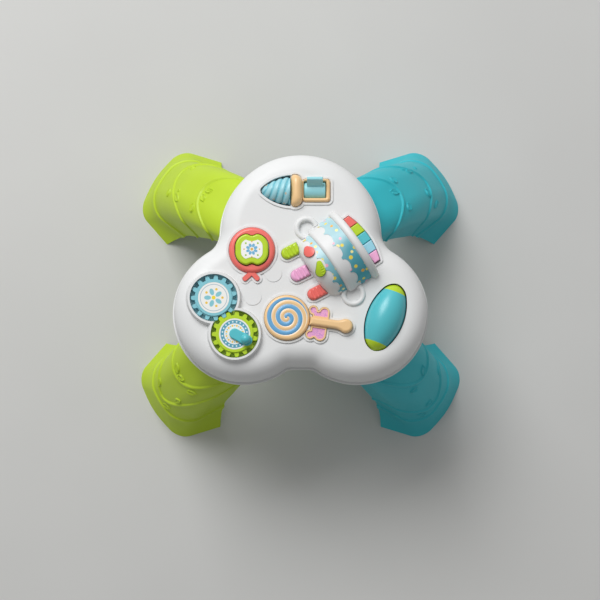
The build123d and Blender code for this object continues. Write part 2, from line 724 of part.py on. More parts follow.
def bearings():
    """All bearing plates under the panel."""
    plates = Part()
    for x in swirl_bearing_x():
        plates += Pos(x, SWIRL_Y) * bearing(SWIRL_AXLE_R, SWIRL_Z)
    for x in lever_bearing_x():
        plates += Pos(x, LEVER_Y) * bearing(LEVER_TRUNNION_R, LEVER_Z)
    for side in (-1, 1):
        reach = ROLLER_HALF + SPIN_GAP + BEARING_THICK / 2
        plates += ROLLER * Pos(side * reach, 0) * bearing(ROLLER_AXLE_R, ROLLER_Z)
        rod_end = PIANO_B + side * (PIANO_HALF + PIANO_SLOT_GAP + BEARING_THICK / 2)
        plates += CAKE * Pos(PIANO_ROD_A, rod_end) * Rot(0, 0, 90) * bearing(PIANO_ROD_R, PIANO_ROD_Z)
    return plates


def board_posts():
    """Posts that hang the switch boards from the panel."""
    posts = Part()
    ax, ay = APPLE_XY
    for x, y in MAIN_POSTS + ((ax, ay - APPLE_POST_REACH), (ax, ay + APPLE_POST_REACH)):
        posts += disc(x, y, POST_R, BOARD_TOP_Z, PANEL_UNDER_Z)
    for side in (-1, 1):
        spot = PIANO_B + side * PIANO_POST_REACH
        posts += CAKE * disc(PIANO_BOARD_A, spot, POST_R, BOARD_TOP_Z, PANEL_UNDER_Z)
    return posts


def boards():
    """Switch boards for the candles, the apple, the piano keys and the fruit."""
    low = BOARD_TOP_Z - BOARD_THICK
    main = lay(*MAIN_BOARD_XY, 0, MAIN_BOARD_ANGLE) * RectangleRounded(*MAIN_BOARD, BOARD_CORNER_R)
    for x, y in MAIN_POSTS:
        main += Pos(x, y) * Circle(POST_R + POST_MARGIN)
    apple = Pos(*APPLE_XY) * RectangleRounded(*APPLE_BOARD, BOARD_CORNER_R)
    piano = CAKE * Pos(PIANO_BOARD_A, PIANO_B) * RectangleRounded(*PIANO_BOARD, BOARD_CORNER_R)
    fruit = CAKE * Pos(*FRUIT_BOARD_AB) * RectangleRounded(*FRUIT_BOARD, BOARD_CORNER_R)
    return {
        "main_board": prism(main, low, BOARD_TOP_Z),
        "apple_board": prism(apple, low, BOARD_TOP_Z),
        "piano_board": prism(piano, low, BOARD_TOP_Z),
        "fruit_board": prism(fruit, PLATEAU_Z, FRUIT_BOARD_TOP_Z),
    }


def dome_switch(x, y, base_z):
    """Dome switch standing on a board."""
    return Pos(x, y, base_z + DOME_HEIGHT / 2) * Cone(DOME_R, DOME_TOP_R, DOME_HEIGHT)


def press_key(outline, stem_xy, top_z, edge_r):
    """Key through the panel: rounded head, flange below, stem above its switch."""
    head = prism(outline, PANEL_UNDER_Z - FLANGE_THICK, top_z)
    head = fillet(head.edges().group_by(Axis.Z)[-1], edge_r)
    head += prism(parallel(outline, FLANGE), PANEL_UNDER_Z - FLANGE_THICK, PANEL_UNDER_Z)
    return head + disc(*stem_xy, STEM_R, STEM_BOTTOM_Z, PANEL_UNDER_Z - FLANGE_THICK)


def candle_key(x, y):
    """Candle key with grooves across its top, ending where the cake begins."""
    key = press_key(candle_outline(x, y), (x, y), CANDLE_TOP_Z, CANDLE_EDGE_R)
    pitch = CANDLE_LENGTH / (CANDLE_RIBS + 2)
    groove = Rot(90, 0, 0) * Cylinder(CANDLE_GROOVE_R, 2 * CANDLE_WIDTH)
    for k in range(CANDLE_RIBS):
        reach = (k - (CANDLE_RIBS - 1) / 2) * pitch
        key -= lay(x, y, CANDLE_TOP_Z + CANDLE_GROOVE_RISE, CANDLE_ANGLE) * Pos(reach, 0) * groove
    cake = cake_solid(-SLIDE_GAP)
    for step in range(CANDLE_CUTS + 1):
        key -= Pos(0, 0, KEY_TRAVEL * step / CANDLE_CUTS) * cake
    return key


def piano_key(index):
    """Piano key with an arm back to the hinge rod and a stop lug at its outer end."""
    pitch = 2 * PIANO_HALF / len(PIANO_COLOURS)
    middle = PIANO_B + PIANO_HALF - (index + 0.5) * pitch
    reach = PIANO_OUTER - PIANO_INNER
    strip = Pos(PIANO_INNER + reach / 2, middle) * Rectangle(2 * reach, pitch - PIANO_GAP)
    outline = keyboard() & strip
    key = prism(outline, PIANO_BOTTOM_Z, PIANO_TOP_Z)
    key = fillet(key.edges().group_by(Axis.Z)[-1], PIANO_EDGE_R)
    hinge = Pos(PIANO_ROD_A, middle, PIANO_ROD_Z)
    across = hinge * Rot(90, 0, 0)
    eye = across * Cylinder(PIANO_ARM_THICK / 2, PIANO_ARM_WIDTH)
    arm_length = PIANO_INNER + PIANO_ARM_BITE - PIANO_ROD_A
    arm = hinge * Pos(arm_length / 2, 0, 0) * Box(arm_length, PIANO_ARM_WIDTH, PIANO_ARM_THICK)
    outer = outline.bounding_box().max.X
    lug_z = (PIANO_BOTTOM_Z + PIANO_LUG_TOP_Z) / 2
    lug = Pos(outer, middle, lug_z) * Box(2 * PIANO_LUG, PIANO_ARM_WIDTH, PIANO_LUG_TOP_Z - PIANO_BOTTOM_Z)
    key += eye + arm + (lug & prism(keyboard(PIANO_LUG), PIANO_BOTTOM_Z, PIANO_LUG_TOP_Z))
    bore = across * Cylinder(PIANO_ROD_R + PIN_GAP, 2 * PIANO_ARM_WIDTH)
    return CAKE * (key - bore)


def fruit_button(name):
    """Fruit button that follows the cake's curve, with a flange under its guide."""
    button = prism(fruit_outline(name), FRUIT_FLANGE_Z, PLATEAU_Z + PLATE_R) & cake_solid(-FRUIT_RISE)
    flange = prism(fruit_outline(name, FLANGE), FRUIT_FLANGE_Z - FLANGE_THICK, FRUIT_FLANGE_Z)
    return button + (flange & cake_solid(CAKE_WALL + SLIDE_GAP))


def cake_dome():
    """Hollow cake with guide tubes for the fruit buttons."""
    outer = cake_solid(0)
    dome = outer - cake_solid(CAKE_WALL)
    for name in FRUITS:
        tube = fruit_outline(name, SLIDE_GAP + GUIDE_WALL)
        dome += prism(tube, FRUIT_FLANGE_Z, PLATEAU_Z + PLATE_R) & outer
    for name in FRUITS:
        dome -= prism(fruit_outline(name, SLIDE_GAP), PLATEAU_Z, PLATEAU_Z + PLATE_R)
    return dome


def cake_band(radius, start, end, drips):
    """Printed band: a thin shell on one tier with an edge of hanging drips."""
    ring = Pos((start + end) / 2, radius + BAND_THICK / 2) * Rectangle(end - start, BAND_THICK)
    skin = CAKE * Pos(0, 0, CAKE_AXIS_Z) * revolve(Plane.XZ * ring, Axis.X, 360)
    plan = Pos((start + end) / 2, 0) * Rectangle(end - start, 3 * radius)
    step = math.radians(BAND_SPAN / drips)
    for k in range(drips + 1):
        angle = (k - drips / 2) * step
        half = radius * step * DRIP_SHARE / 2 * math.cos(angle) + DRIP_EDGE
        plan -= Pos(start, radius * math.sin(angle)) * Ellipse(DRIP_LENGTH, half)
    return skin & CAKE * prism(plan, PLATEAU_Z + 1, PLATEAU_Z + PLATE_R)


def leg_section(z, grow, open_back):
    """Channel section of a leg at one height, grown outward or left open at the back."""
    stations = LEG_STATIONS
    upper = next(k for k in range(1, len(stations)) if stations[k][0] >= z)
    low, high = stations[upper - 1], stations[upper]
    share = (z - low[0]) / (high[0] - low[0])
    face, lip, face_half, lip_half, corner = (a + share * (b - a) for a, b in zip(low[1:], high[1:]))
    spread = (lip_half - face_half) / (face - lip)
    back = lip - open_back
    face += grow
    face_half += grow
    lip_half = face_half + spread * (face - back)
    shape = Polygon((back, -lip_half), (face, -face_half), (face, face_half), (back, lip_half), align=None)
    shape = fillet(shape.vertices().group_by(Axis.X)[-1], corner + grow)
    return Pos(0, 0, z) * shape


def leg_form(grow, open_back, top_z):
    """Lofted leg form from the floor to a height."""
    heights = [s[0] for s in LEG_STATIONS if s[0] < top_z] + [top_z]
    return loft([leg_section(z, grow, open_back) for z in heights])


def leg():
    """Channel leg with flared foot, raised ridges, closed top and spigot."""
    body = leg_form(0, 0, LEG_TOP_Z)
    skin = leg_form(RIDGE_HEIGHT, 0, LEG_TOP_Z)
    for height, slope, width in RIDGES:
        slab = Box(600, 400, width)
        tilt = math.degrees(math.atan(slope))
        body += skin & (Pos(0, 0, height) * Rot(tilt, 0, 0) * slab)
    body -= leg_form(-LEG_WALL, 60, LEG_TOP_Z - LEG_CAP)
    spigot = Pos(SPIGOT_U, 0) * RectangleRounded(SPIGOT_LENGTH, SPIGOT_WIDTH, SPIGOT_R)
    tube = spigot - parallel(spigot, -SPIGOT_WALL)
    return body + prism(tube, LEG_TOP_Z, LEG_TOP_Z + SPIGOT_HEIGHT)


LEGS = {
    "leg_rear_right": (LEG_ANGLE, 1),
    "leg_rear_left": (180 - LEG_ANGLE, -1),
    "leg_front_left": (180 + LEG_ANGLE, 1),
    "leg_front_right": (-LEG_ANGLE, -1),
}


def leg_place(name):
    """Where a leg stands: turned outward and shifted sideways."""
    angle, side = LEGS[name]
    return Rot(0, 0, angle) * Pos(0, side * LEG_OFFSET, 0)


def door_outline():
    """Battery door in plan: the bay and a screw tab at one end."""
    tab = Pos(BATTERY_LENGTH / 2, 0) * Rectangle(2 * DOOR_TAB[0], DOOR_TAB[1])
    return Pos(*BATTERY_XY) * (Rectangle(BATTERY_LENGTH, BATTERY_WIDTH) + tab)


def base_shell():
    """Lower shell with rim shelf, leg sockets, battery box, grille and screw bosses."""
    rim = prism(trefoil(), BASE_Z, PANEL_BOTTOM_Z)
    rim = fillet(rim.edges().group_by(Axis.Z)[0], BASE_EDGE_R)
    shelf_z = PANEL_BOTTOM_Z - SHELF_THICK
    rim -= prism(trefoil(BASE_WALL), FLOOR_TOP_Z, shelf_z)
    rim -= prism(trefoil(SHELF_WIDTH), shelf_z, PANEL_BOTTOM_Z)
    locator_out = PANEL_INSET + PANEL_WALL + FIT_GAP
    locator = trefoil(locator_out) - trefoil(locator_out + LOCATOR_WALL)
    shell = rim + prism(locator, shelf_z, PANEL_BOTTOM_Z + LOCATOR_HEIGHT)

    spigot = Pos(SPIGOT_U, 0) * RectangleRounded(SPIGOT_LENGTH, SPIGOT_WIDTH, SPIGOT_R)
    socket_top = BASE_Z + SPIGOT_HEIGHT + FIT_GAP
    for name in LEGS:
        place = leg_place(name)
        shell += place * prism(parallel(spigot, FIT_GAP + SOCKET_WALL), FLOOR_TOP_Z, socket_top + SOCKET_WALL)
    for name in LEGS:
        shell -= leg_place(name) * prism(parallel(spigot, FIT_GAP), BASE_Z, socket_top)

    bay = Pos(*BATTERY_XY) * Rectangle(BATTERY_LENGTH, BATTERY_WIDTH)
    door_top = BASE_Z + DOOR_THICK
    bay_top = door_top + BATTERY_HEIGHT
    screw_xy = (DOOR_SCREW_X, BATTERY_XY[1])
    shell += prism(parallel(bay, BATTERY_WALL), FLOOR_TOP_Z, bay_top + BATTERY_WALL)
    shell += disc(*screw_xy, DOOR_BOSS_R, FLOOR_TOP_Z, door_top + DOOR_SCREW_LENGTH + FLOOR)
    shell -= prism(bay, BASE_Z, bay_top)
    shell -= prism(door_outline(), BASE_Z, door_top)
    shell -= disc(*screw_xy, DOOR_SCREW_R, door_top, door_top + DOOR_SCREW_LENGTH)
    for sx in (-1, 1):
        for sy in (-1, 1):
            x = BATTERY_XY[0] + sx * (BATTERY_LENGTH / 2 - 1)
            y = BATTERY_XY[1] + sy * (BATTERY_WIDTH / 2 - 1)
            shell += prism(Pos(x, y) * Rectangle(2, 2), door_top, bay_top)

    for radius, count in GRILLE_RINGS:
        for k in range(count):
            angle = math.radians(360 * k / count)
            x = SPEAKER_XY[0] + radius * math.cos(angle)
            y = SPEAKER_XY[1] + radius * math.sin(angle)
            shell -= disc(x, y, GRILLE_HOLE_R, BASE_Z, FLOOR_TOP_Z)

    slot = Rectangle(SWITCH_KNOB[0] + SWITCH_TRAVEL + 2 * SLIDE_GAP, SWITCH_KNOB[1] + 2 * SLIDE_GAP)
    shell -= prism(Pos(*SWITCH_XY) * slot, BASE_Z, FLOOR_TOP_Z)
    for x, y in BOSS_XY:
        shell += disc(x, y, BOSS_R + 0.8, FLOOR_TOP_Z, BOSS_JOINT_Z)
    for x, y in BOSS_XY:
        shell -= disc(x, y, BOSS_HEAD_R + FIT_GAP, BASE_Z, FLOOR_TOP_Z)
        shell -= disc(x, y, PANEL_SCREW_R + FIT_GAP, FLOOR_TOP_Z, BOSS_JOINT_Z)
    return shell


def panel_screws():
    """Seven screws from the base into the panel's bosses."""
    screws = []
    for x, y in BOSS_XY:
        head = disc(x, y, BOSS_HEAD_R, FLOOR_TOP_Z - PANEL_SCREW_HEAD, FLOOR_TOP_Z)
        screws.append(head + disc(x, y, PANEL_SCREW_R, FLOOR_TOP_Z, BOSS_JOINT_Z + PANEL_SCREW_LENGTH - 1))
    return Compound(children=screws)


def battery_pieces():
    """Door with its screw, cells and contact plates of the battery bay."""
    x, y = BATTERY_XY
    door_top = BASE_Z + DOOR_THICK
    head_r, head_height = DOOR_SCREW_HEAD
    screw = disc(DOOR_SCREW_X, y, head_r, BASE_Z, BASE_Z + head_height)
    screw += disc(DOOR_SCREW_X, y, DOOR_SCREW_R, BASE_Z + head_height, door_top + DOOR_SCREW_LENGTH)
    door = prism(parallel(door_outline(), -FIT_GAP), BASE_Z, door_top)
    door -= disc(DOOR_SCREW_X, y, DOOR_SCREW_R + FIT_GAP, BASE_Z, door_top)
    door -= disc(DOOR_SCREW_X, y, head_r + FIT_GAP, BASE_Z, BASE_Z + head_height)
    cells = []
    contacts = []
    cell_z = door_top + CELL_R
    for k in range(CELL_COUNT):
        row = y + (k - (CELL_COUNT - 1) / 2) * CELL_PITCH
        cell = rod_x(CELL_R, x - CELL_LENGTH / 2, x + CELL_LENGTH / 2 - 1)
        cell += rod_x(CELL_R * 0.38, x + CELL_LENGTH / 2 - 1, x + CELL_LENGTH / 2)
        cells.append(Pos(0, row, cell_z) * cell)
        for side in (-1, 1):
            wall = x + side * (BATTERY_LENGTH / 2 - CONTACT_THICK / 2)
            plate = Pos(wall, row, cell_z) * Box(CONTACT_THICK, 9, 9)
            end = x + side * CELL_LENGTH / 2
            inner = wall - side * CONTACT_THICK / 2
            nub = Pos(0, row, cell_z) * rod_x(2, min(end, inner), max(end, inner))
            contacts.append(plate + nub)
    return {
        "battery_door": door,
        "battery_door_screw": screw,
        "battery_cells": Compound(children=cells),
        "battery_contacts": Compound(children=contacts),
    }


def speaker_pieces():
    """Speaker basket with magnet, and its paper cone."""
    x, y = SPEAKER_XY
    low = FLOOR_TOP_Z
    rim = disc(x, y, SPEAKER_R, low, low + 1.5) - disc(x, y, SPEAKER_R - 3, low, low + 1.5)
    bowl_z = low + 1.5 + 3.5
    bowl = Pos(x, y, bowl_z) * Cone(SPEAKER_R - 1, SPEAKER_MAGNET_R, 7)
    bowl -= Pos(x, y, bowl_z - 1.2) * Cone(SPEAKER_R - 2.2, SPEAKER_MAGNET_R - 1, 7)
    magnet = disc(x, y, SPEAKER_MAGNET_R, low + 8.5, low + SPEAKER_HEIGHT)
    cone = Pos(x, y, low + 2.7) * Cone(SPEAKER_R - 4, SPEAKER_MAGNET_R - 3, 5)
    cone -= Pos(x, y, low + 2.2) * Cone(SPEAKER_R - 4.4, SPEAKER_MAGNET_R - 3.4, 5)
    return {"speaker_basket": rim + bowl + magnet, "speaker_cone": cone}


def power_switch():
    """Slider under the base, at its off end."""
    x, y = SWITCH_XY
    start = x - SWITCH_TRAVEL / 2
    knob = prism(Pos(start, y) * Rectangle(*SWITCH_KNOB), BASE_Z - SWITCH_DROP, FLOOR_TOP_Z + SLIDE_GAP)
    flange = prism(Pos(start, y) * Rectangle(*SWITCH_FLANGE), FLOOR_TOP_Z + SLIDE_GAP, FLOOR_TOP_Z + 2)
    return knob + flange


def switch_housing():
    """Cover that keeps the slider on the base floor."""
    x, y = SWITCH_XY
    inner = Rectangle(SWITCH_FLANGE[0] + SWITCH_TRAVEL + 2 * SLIDE_GAP, SWITCH_FLANGE[1] + 2 * SLIDE_GAP)
    top = FLOOR_TOP_Z + 2 + SLIDE_GAP
    cover = prism(Pos(x, y) * parallel(inner, 1.5), FLOOR_TOP_Z, top + 1.5)
    return cover - prism(Pos(x, y) * inner, FLOOR_TOP_Z, top)


def swirl_roller():
    """Soft-serve swirl: a pointed dome with slanting grooves wound towards its tip."""
    upper = swirl_outline() & Pos(-SWIRL_LENGTH / 2, SWIRL_R) * Rectangle(2 * SWIRL_LENGTH, 2 * SWIRL_R)
    body = revolve(Plane.XZ * upper, Axis.X, 360)
    along, out = SWIRL_BELLY
    bend = (1 - out) / along ** 2
    turns = SWIRL_LENGTH / SWIRL_LEAD
    for groove in range(SWIRL_GROOVES):
        points = []
        for k in range(-1, int(turns * SWIRL_STEPS)):
            turn = 2 * math.pi * (k / SWIRL_STEPS + groove / SWIRL_GROOVES)
            reach = SWIRL_LEAD * k / SWIRL_STEPS
            radius = SWIRL_R * (1 - bend * (reach / SWIRL_LENGTH) ** 2) + SWIRL_GROOVE_RISE
            points.append((-reach, radius * math.cos(turn), radius * math.sin(turn)))
        path = Spline(*points)
        body -= sweep((path ^ 0) * Circle(SWIRL_GROOVE_R), path, is_frenet=True)
    body -= rod_x(SWIRL_AXLE_R, -2 * SWIRL_LENGTH, SWIRL_LENGTH)
    return Pos(SWIRL_START_X, SWIRL_Y, SWIRL_Z) * body


def flip_lever():
    """Barrel lever with a flat tab, leaning back."""
    low = WINDOW_X + SPIN_GAP
    high = WINDOW_X + WINDOW_LENGTH - SPIN_GAP
    barrel = rod_x(LEVER_R, low, high)
    barrel = fillet(barrel.edges(), LEVER_EDGE_R)
    trunnions = rod_x(LEVER_TRUNNION_R, low - LEVER_TRUNNION, high + LEVER_TRUNNION)
    tab = Pos((low + high) / 2, 0, TAB_REACH / 2) * Box(TAB_WIDTH, TAB_THICK, TAB_REACH)
    tab = fillet(tab.edges().group_by(Axis.Z)[-1], TAB_EDGE_R)
    return Pos(0, LEVER_Y, LEVER_Z) * (barrel + trunnions + Rot(-TAB_LEAN, 0, 0) * tab)


def cone_bezel():
    """Tan collar and frame of the ice cream."""
    collar = prism(collar_outline(), PLATEAU_Z, PLATEAU_Z + CONE_COLLAR_HEIGHT)
    collar = fillet(collar.edges().group_by(Axis.Z)[-1], CONE_COLLAR_EDGE_R)
    frame = prism(frame_outline(), PLATEAU_Z, PLATEAU_Z + FRAME_HEIGHT)
    frame = fillet(frame.edges().group_by(Axis.Z)[-1], FRAME_EDGE_R)
    bezel = collar + frame
    return bezel - prism(frame_window(), PLATEAU_Z, PLATEAU_Z + CONE_COLLAR_HEIGHT)


def apple_pieces():
    """Apple bezel, button and label."""
    ring = prism(Pos(*APPLE_XY) * Circle(APPLE_R), PLATEAU_Z, PLATEAU_Z + APPLE_HEIGHT)
    ring = fillet(ring.edges().group_by(Axis.Z)[-1], APPLE_EDGE_R)
    prongs = prism(apple_prongs(), PLATEAU_Z, PLATEAU_Z + PRONG_HEIGHT)
    window = parallel(apple_outline(), SLIDE_GAP + BUTTON_INSET)
    bezel = ring + prongs - prism(window, PLATEAU_Z, PLATEAU_Z + 2 * APPLE_HEIGHT)
    button = press_key(apple_outline(), APPLE_XY, BUTTON_TOP_Z, KEY_EDGE_R)
    recess = apple_outline(APPLE_LABEL_INSET - FIT_GAP / 2)
    button -= prism(recess, BUTTON_TOP_Z - LABEL_THICK, BUTTON_TOP_Z)
    label = prism(apple_outline(APPLE_LABEL_INSET), BUTTON_TOP_Z - LABEL_THICK, BUTTON_TOP_Z + LABEL_RISE)
    return {"apple_bezel": bezel, "apple_button": button, "apple_label": label}


def spiral_band():
    """Spiral of half rings; each half turn is wider by half a step."""
    band = Sketch()
    middle = 0
    reach = 4 * LOLLY_R
    for k in range(SPIRAL_HALF_TURNS):
        radius = SPIRAL_STEP * (k + 0.5) / 2
        side = 1 if k % 2 == 0 else -1
        ring = Circle(radius + SPIRAL_WIDTH / 2)
        if radius > SPIRAL_WIDTH / 2:
            ring -= Circle(radius - SPIRAL_WIDTH / 2)
        band += Pos(middle, 0) * ring & Pos(0, side * reach / 2) * Rectangle(reach, reach)
        middle -= side * SPIRAL_STEP / 2
    return Rot(0, 0, SPIRAL_TAIL_ANGLE) * (band & Circle(LOLLY_R - LOLLY_EDGE_R))


def lollipop_pieces():
    """Spinning disc, its inlaid spiral, the retaining screw, stick and bow."""
    x, y = LOLLY_XY
    bottom = PLATEAU_Z - LOLLY_WELL_DEPTH + SPIN_GAP
    body = disc(0, 0, LOLLY_R, bottom, LOLLY_TOP_Z)
    body = fillet(body.edges().group_by(Axis.Z)[-1], LOLLY_EDGE_R)
    under = PANEL_UNDER_Z - LOLLY_WELL_DEPTH
    body += disc(0, 0, SHAFT_R, under - SPIN_GAP, bottom)
    inlay = prism(spiral_band(), LOLLY_TOP_Z - SPIRAL_THICK, LOLLY_TOP_Z)
    body -= inlay
    seat_z = under - SPIN_GAP
    body -= disc(0, 0, SCREW_R, seat_z, seat_z + SCREW_LENGTH)
    stick = prism(stick_outline(), PLATEAU_Z, PLATEAU_Z + STICK_HEIGHT)
    stick = fillet(stick.edges().group_by(Axis.Z)[-1], STICK_EDGE_R)
    frame = prism(lolly_wings() - lolly_wings(BOW_RIM), PLATEAU_Z, PLATEAU_Z + BOW_HEIGHT)
    panel = prism(lolly_wings(BOW_RIM), PLATEAU_Z, PLATEAU_Z + BOW_HEIGHT - BOW_PANEL_DROP)
    return {
        "lollipop_disc": Pos(x, y) * body,
        "lollipop_spiral": Pos(x, y) * inlay,
        "lollipop_screw": spinner_screw(x, y, seat_z),
        "lollipop_stick": stick,
        "bow_frame": frame,
        "bow_panel": panel,
    }


def gear_pieces():
    """Both gears with labels and screws, and the crank on the green one."""
    pieces = {}
    floor_under = WELL_FLOOR_Z - WELL_FLOOR
    half_pitch = 180 / GEAR_TEETH
    for name, centre, first in (
        ("blue_gear", BLUE_GEAR_XY, GEAR_LINE_ANGLE),
        ("green_gear", GREEN_GEAR_XY, GEAR_LINE_ANGLE + 180 + half_pitch),
    ):
        pieces[name] = gear(centre, first)
        pieces[name + "_label"] = disc(*centre, LABEL_R, GEAR_TOP_Z, GEAR_TOP_Z + GEAR_RING_HEIGHT)
        pieces[name + "_screw"] = spinner_screw(*centre, floor_under - SPIN_GAP)
    pad_z = GEAR_TOP_Z + GEAR_RING_HEIGHT
    pad = capsule(0, 0, CRANK_REACH, 0, CRANK_WIDTH / 2)
    crank = prism(pad, pad_z, pad_z + CRANK_THICK)
    crank = fillet(crank.edges().group_by(Axis.Z)[-1], CRANK_EDGE_R)
    crank += Pos(CRANK_REACH - BALL_INSET, 0, pad_z + CRANK_THICK + BALL_RISE) * Sphere(BALL_R)
    pieces["crank_knob"] = lay(*GREEN_GEAR_XY, 0, CRANK_ANGLE) * crank
    return pieces


def roller_pieces():
    """Egg roller: hollow barrel, two end caps and the axle."""
    place = ROLLER * Pos(0, 0, ROLLER_Z)
    egg = revolve(Plane.XZ * roller_profile(), Axis.X, 360)
    core = revolve(Plane.XZ * roller_profile(ROLLER_WALL), Axis.X, 360)
    bore = rod_x(ROLLER_AXLE_R, -2 * ROLLER_HALF, 2 * ROLLER_HALF)
    shell = egg - core - bore
    around = 4 * ROLLER_R
    middle = Box(2 * ROLLER_CAP_A, around, around)
    webs = Part()
    for side in (-1, 1):
        web_x = side * (ROLLER_CAP_A - ROLLER_WEB / 2)
        webs += Pos(web_x, 0, 0) * Rot(0, 90, 0) * Cylinder(ROLLER_R, ROLLER_WEB)
    webs = (webs & egg) - bore
    barrel = (shell & middle) + webs
    pieces = {"roller_barrel": place * barrel}
    for name, side in (("roller_cap_rear", 1), ("roller_cap_front", -1)):
        room = Pos(side * (ROLLER_CAP_A + ROLLER_HALF), 0, 0) * Box(2 * ROLLER_HALF, around, around)
        pieces[name] = place * (shell & room)
    reach = ROLLER_HALF + SPIN_GAP + BEARING_THICK
    pieces["roller_axle"] = place * rod_x(ROLLER_AXLE_R, -reach, reach)
    return pieces


def switch_pieces():
    """Dome switches under the press keys, the piano keys and the fruit buttons."""
    presses = [dome_switch(x, y, BOARD_TOP_Z) for name, x, y in CANDLES]
    presses.append(dome_switch(*APPLE_XY, BOARD_TOP_Z))
    pitch = 2 * PIANO_HALF / len(PIANO_COLOURS)
    keys = []
    for k in range(len(PIANO_COLOURS)):
        middle = PIANO_B + PIANO_HALF - (k + 0.5) * pitch
        keys.append(CAKE * dome_switch(PIANO_DOME_A, middle, BOARD_TOP_Z))
    fruit = []
    for along, across, *rest in FRUITS.values():
        fruit.append(CAKE * dome_switch(along, across, FRUIT_BOARD_TOP_Z))
    return {
        "key_domes": Compound(children=presses),
        "piano_domes": Compound(children=keys),
        "fruit_domes": Compound(children=fruit),
    }


def build_pieces():
    """Every piece of the table by name."""
    pieces = {"top_panel": top_panel(), "base_shell": base_shell()}
    one_leg = leg()
    for name in LEGS:
        pieces[name] = leg_place(name) * one_leg
    pieces["panel_screws"] = panel_screws()
    pieces["cake_dome"] = cake_dome()
    pieces["cake_band_lower"] = cake_band(LOWER_TIER_R, LOWER_BAND, PLATE_START - FIT_GAP, BAND_DRIPS)
    pieces["cake_band_upper"] = cake_band(TIER_R, UPPER_BAND, TIER_STEP - FIT_GAP, BAND_DRIPS)
    for name in FRUITS:
        pieces[name] = fruit_button(name)
        pieces["cake_band_upper"] -= prism(fruit_outline(name, SLIDE_GAP), PLATEAU_Z, PLATEAU_Z + PLATE_R)
    pieces["cone_bezel"] = cone_bezel()
    pieces["swirl_roller"] = swirl_roller()
    near, far = swirl_bearing_x()
    reach = BEARING_THICK / 2
    pieces["swirl_axle"] = Pos(0, SWIRL_Y, SWIRL_Z) * rod_x(SWIRL_AXLE_R, far - reach, near + reach)
    pieces["flip_lever"] = flip_lever()
    pieces.update(apple_pieces())
    pieces.update(lollipop_pieces())
    pieces.update(gear_pieces())
    pieces.update(roller_pieces())
    for name, x, y in CANDLES:
        pieces["candle_key_" + name] = candle_key(x, y)
    for index, colour in enumerate(PIANO_COLOURS):
        pieces["piano_key_" + colour] = piano_key(index)
    rod_half = PIANO_HALF + PIANO_SLOT_GAP + BEARING_THICK
    rod = Rot(0, 0, 90) * rod_x(PIANO_ROD_R, PIANO_B - rod_half, PIANO_B + rod_half)
    pieces["piano_key_rod"] = CAKE * Pos(PIANO_ROD_A, 0, PIANO_ROD_Z) * rod
    pieces.update(boards())
    pieces.update(switch_pieces())
    pieces.update(battery_pieces())
    pieces.update(speaker_pieces())
    pieces["power_switch"] = power_switch()
    pieces["switch_housing"] = switch_housing()
    return pieces


os.makedirs("parts", exist_ok=True)
for node, piece in build_pieces().items():
    export_step(piece, f"parts/{node}.step")
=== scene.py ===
import bpy
import math
import numpy as np
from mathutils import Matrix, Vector
from mathutils.bvhtree import BVHTree


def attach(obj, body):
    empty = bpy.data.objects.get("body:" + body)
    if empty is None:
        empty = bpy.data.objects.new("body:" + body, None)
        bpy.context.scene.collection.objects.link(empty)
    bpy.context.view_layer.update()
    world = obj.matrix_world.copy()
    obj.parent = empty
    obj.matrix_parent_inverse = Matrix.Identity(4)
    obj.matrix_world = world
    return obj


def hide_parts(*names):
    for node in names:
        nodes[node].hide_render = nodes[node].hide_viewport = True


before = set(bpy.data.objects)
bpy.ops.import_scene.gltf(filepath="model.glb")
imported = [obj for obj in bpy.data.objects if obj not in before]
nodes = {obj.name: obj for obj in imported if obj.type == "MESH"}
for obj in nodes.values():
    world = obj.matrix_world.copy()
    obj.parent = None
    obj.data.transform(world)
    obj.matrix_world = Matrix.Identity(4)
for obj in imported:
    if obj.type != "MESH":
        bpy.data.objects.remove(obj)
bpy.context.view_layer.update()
MM = 0.001
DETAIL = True

# Plan places of the toys, in millimetres, as in the solids
BLUE_GEAR = (-114.2, -42.9)
GREEN_GEAR = (-86.45, -90.963)
LOLLIPOP = (-17.8, -69.0)
APPLE = (-64.1, 20.9)
CAKE = (37.0, 5.5, 236.0)
CAKE_TURN = 35.0
CAKE_R = 50.0


def chip(red, green, blue):
    """Linear colour of a paint chip given in 0 to 255 steps."""
    def line(step):
        share = step / 255
        return share / 12.92 if share <= 0.04045 else ((share + 0.055) / 1.055) ** 2.4
    return (line(red), line(green), line(blue), 1.0)


# Colours of the mouldings and prints, and of painted bounce light and painted shade
WHITE = chip(226, 227, 227)
LIME = chip(184, 214, 40)
LEG_LIME = chip(182, 210, 38)
TEAL = chip(44, 182, 194)
TOY_TEAL = chip(84, 190, 200)
LEVER_TEAL = chip(152, 216, 224)
PALE_TEAL = chip(158, 212, 222)
TAN = chip(240, 200, 146)
SUGAR_BLUE = chip(104, 168, 214)
CREAM = chip(250, 232, 208)
CORAL = chip(238, 112, 104)
PINK = chip(238, 172, 212)
SKY = chip(150, 208, 226)
GEAR_BLUE = chip(132, 198, 210)
OCHRE = chip(238, 196, 70)
LILAC = chip(178, 128, 206)
PALE_ICING = chip(182, 217, 224)
# Deep icing colour: partly printed fade, partly painted shade on the side of the cake roll away from the
# light
DEEP_ICING_AND_SHADE = chip(80, 164, 180)
# Painted bounce light in the gear wells: the gears' colours, made paler to lift the shade in the wells
BLUE_WELL_BOUNCE = chip(180, 224, 232)
GREEN_WELL_BOUNCE = chip(196, 220, 96)
# Painted shade in the grooves of the ice-cream swirl
GROOVE_SHADE_BLUE = chip(104, 184, 200)
CRUMB = chip(190, 184, 164)
FILM = chip(240, 240, 236)
APPLE_FILM = chip(244, 244, 240)
HONEY = chip(226, 176, 72)
# Sugar drops: share of the drops that lies below each shade, and the shade
DROP_SHADES = ((0.0, chip(246, 222, 84)), (0.45, chip(240, 170, 190)), (0.65, chip(244, 182, 76)),
               (0.85, chip(250, 240, 160)))


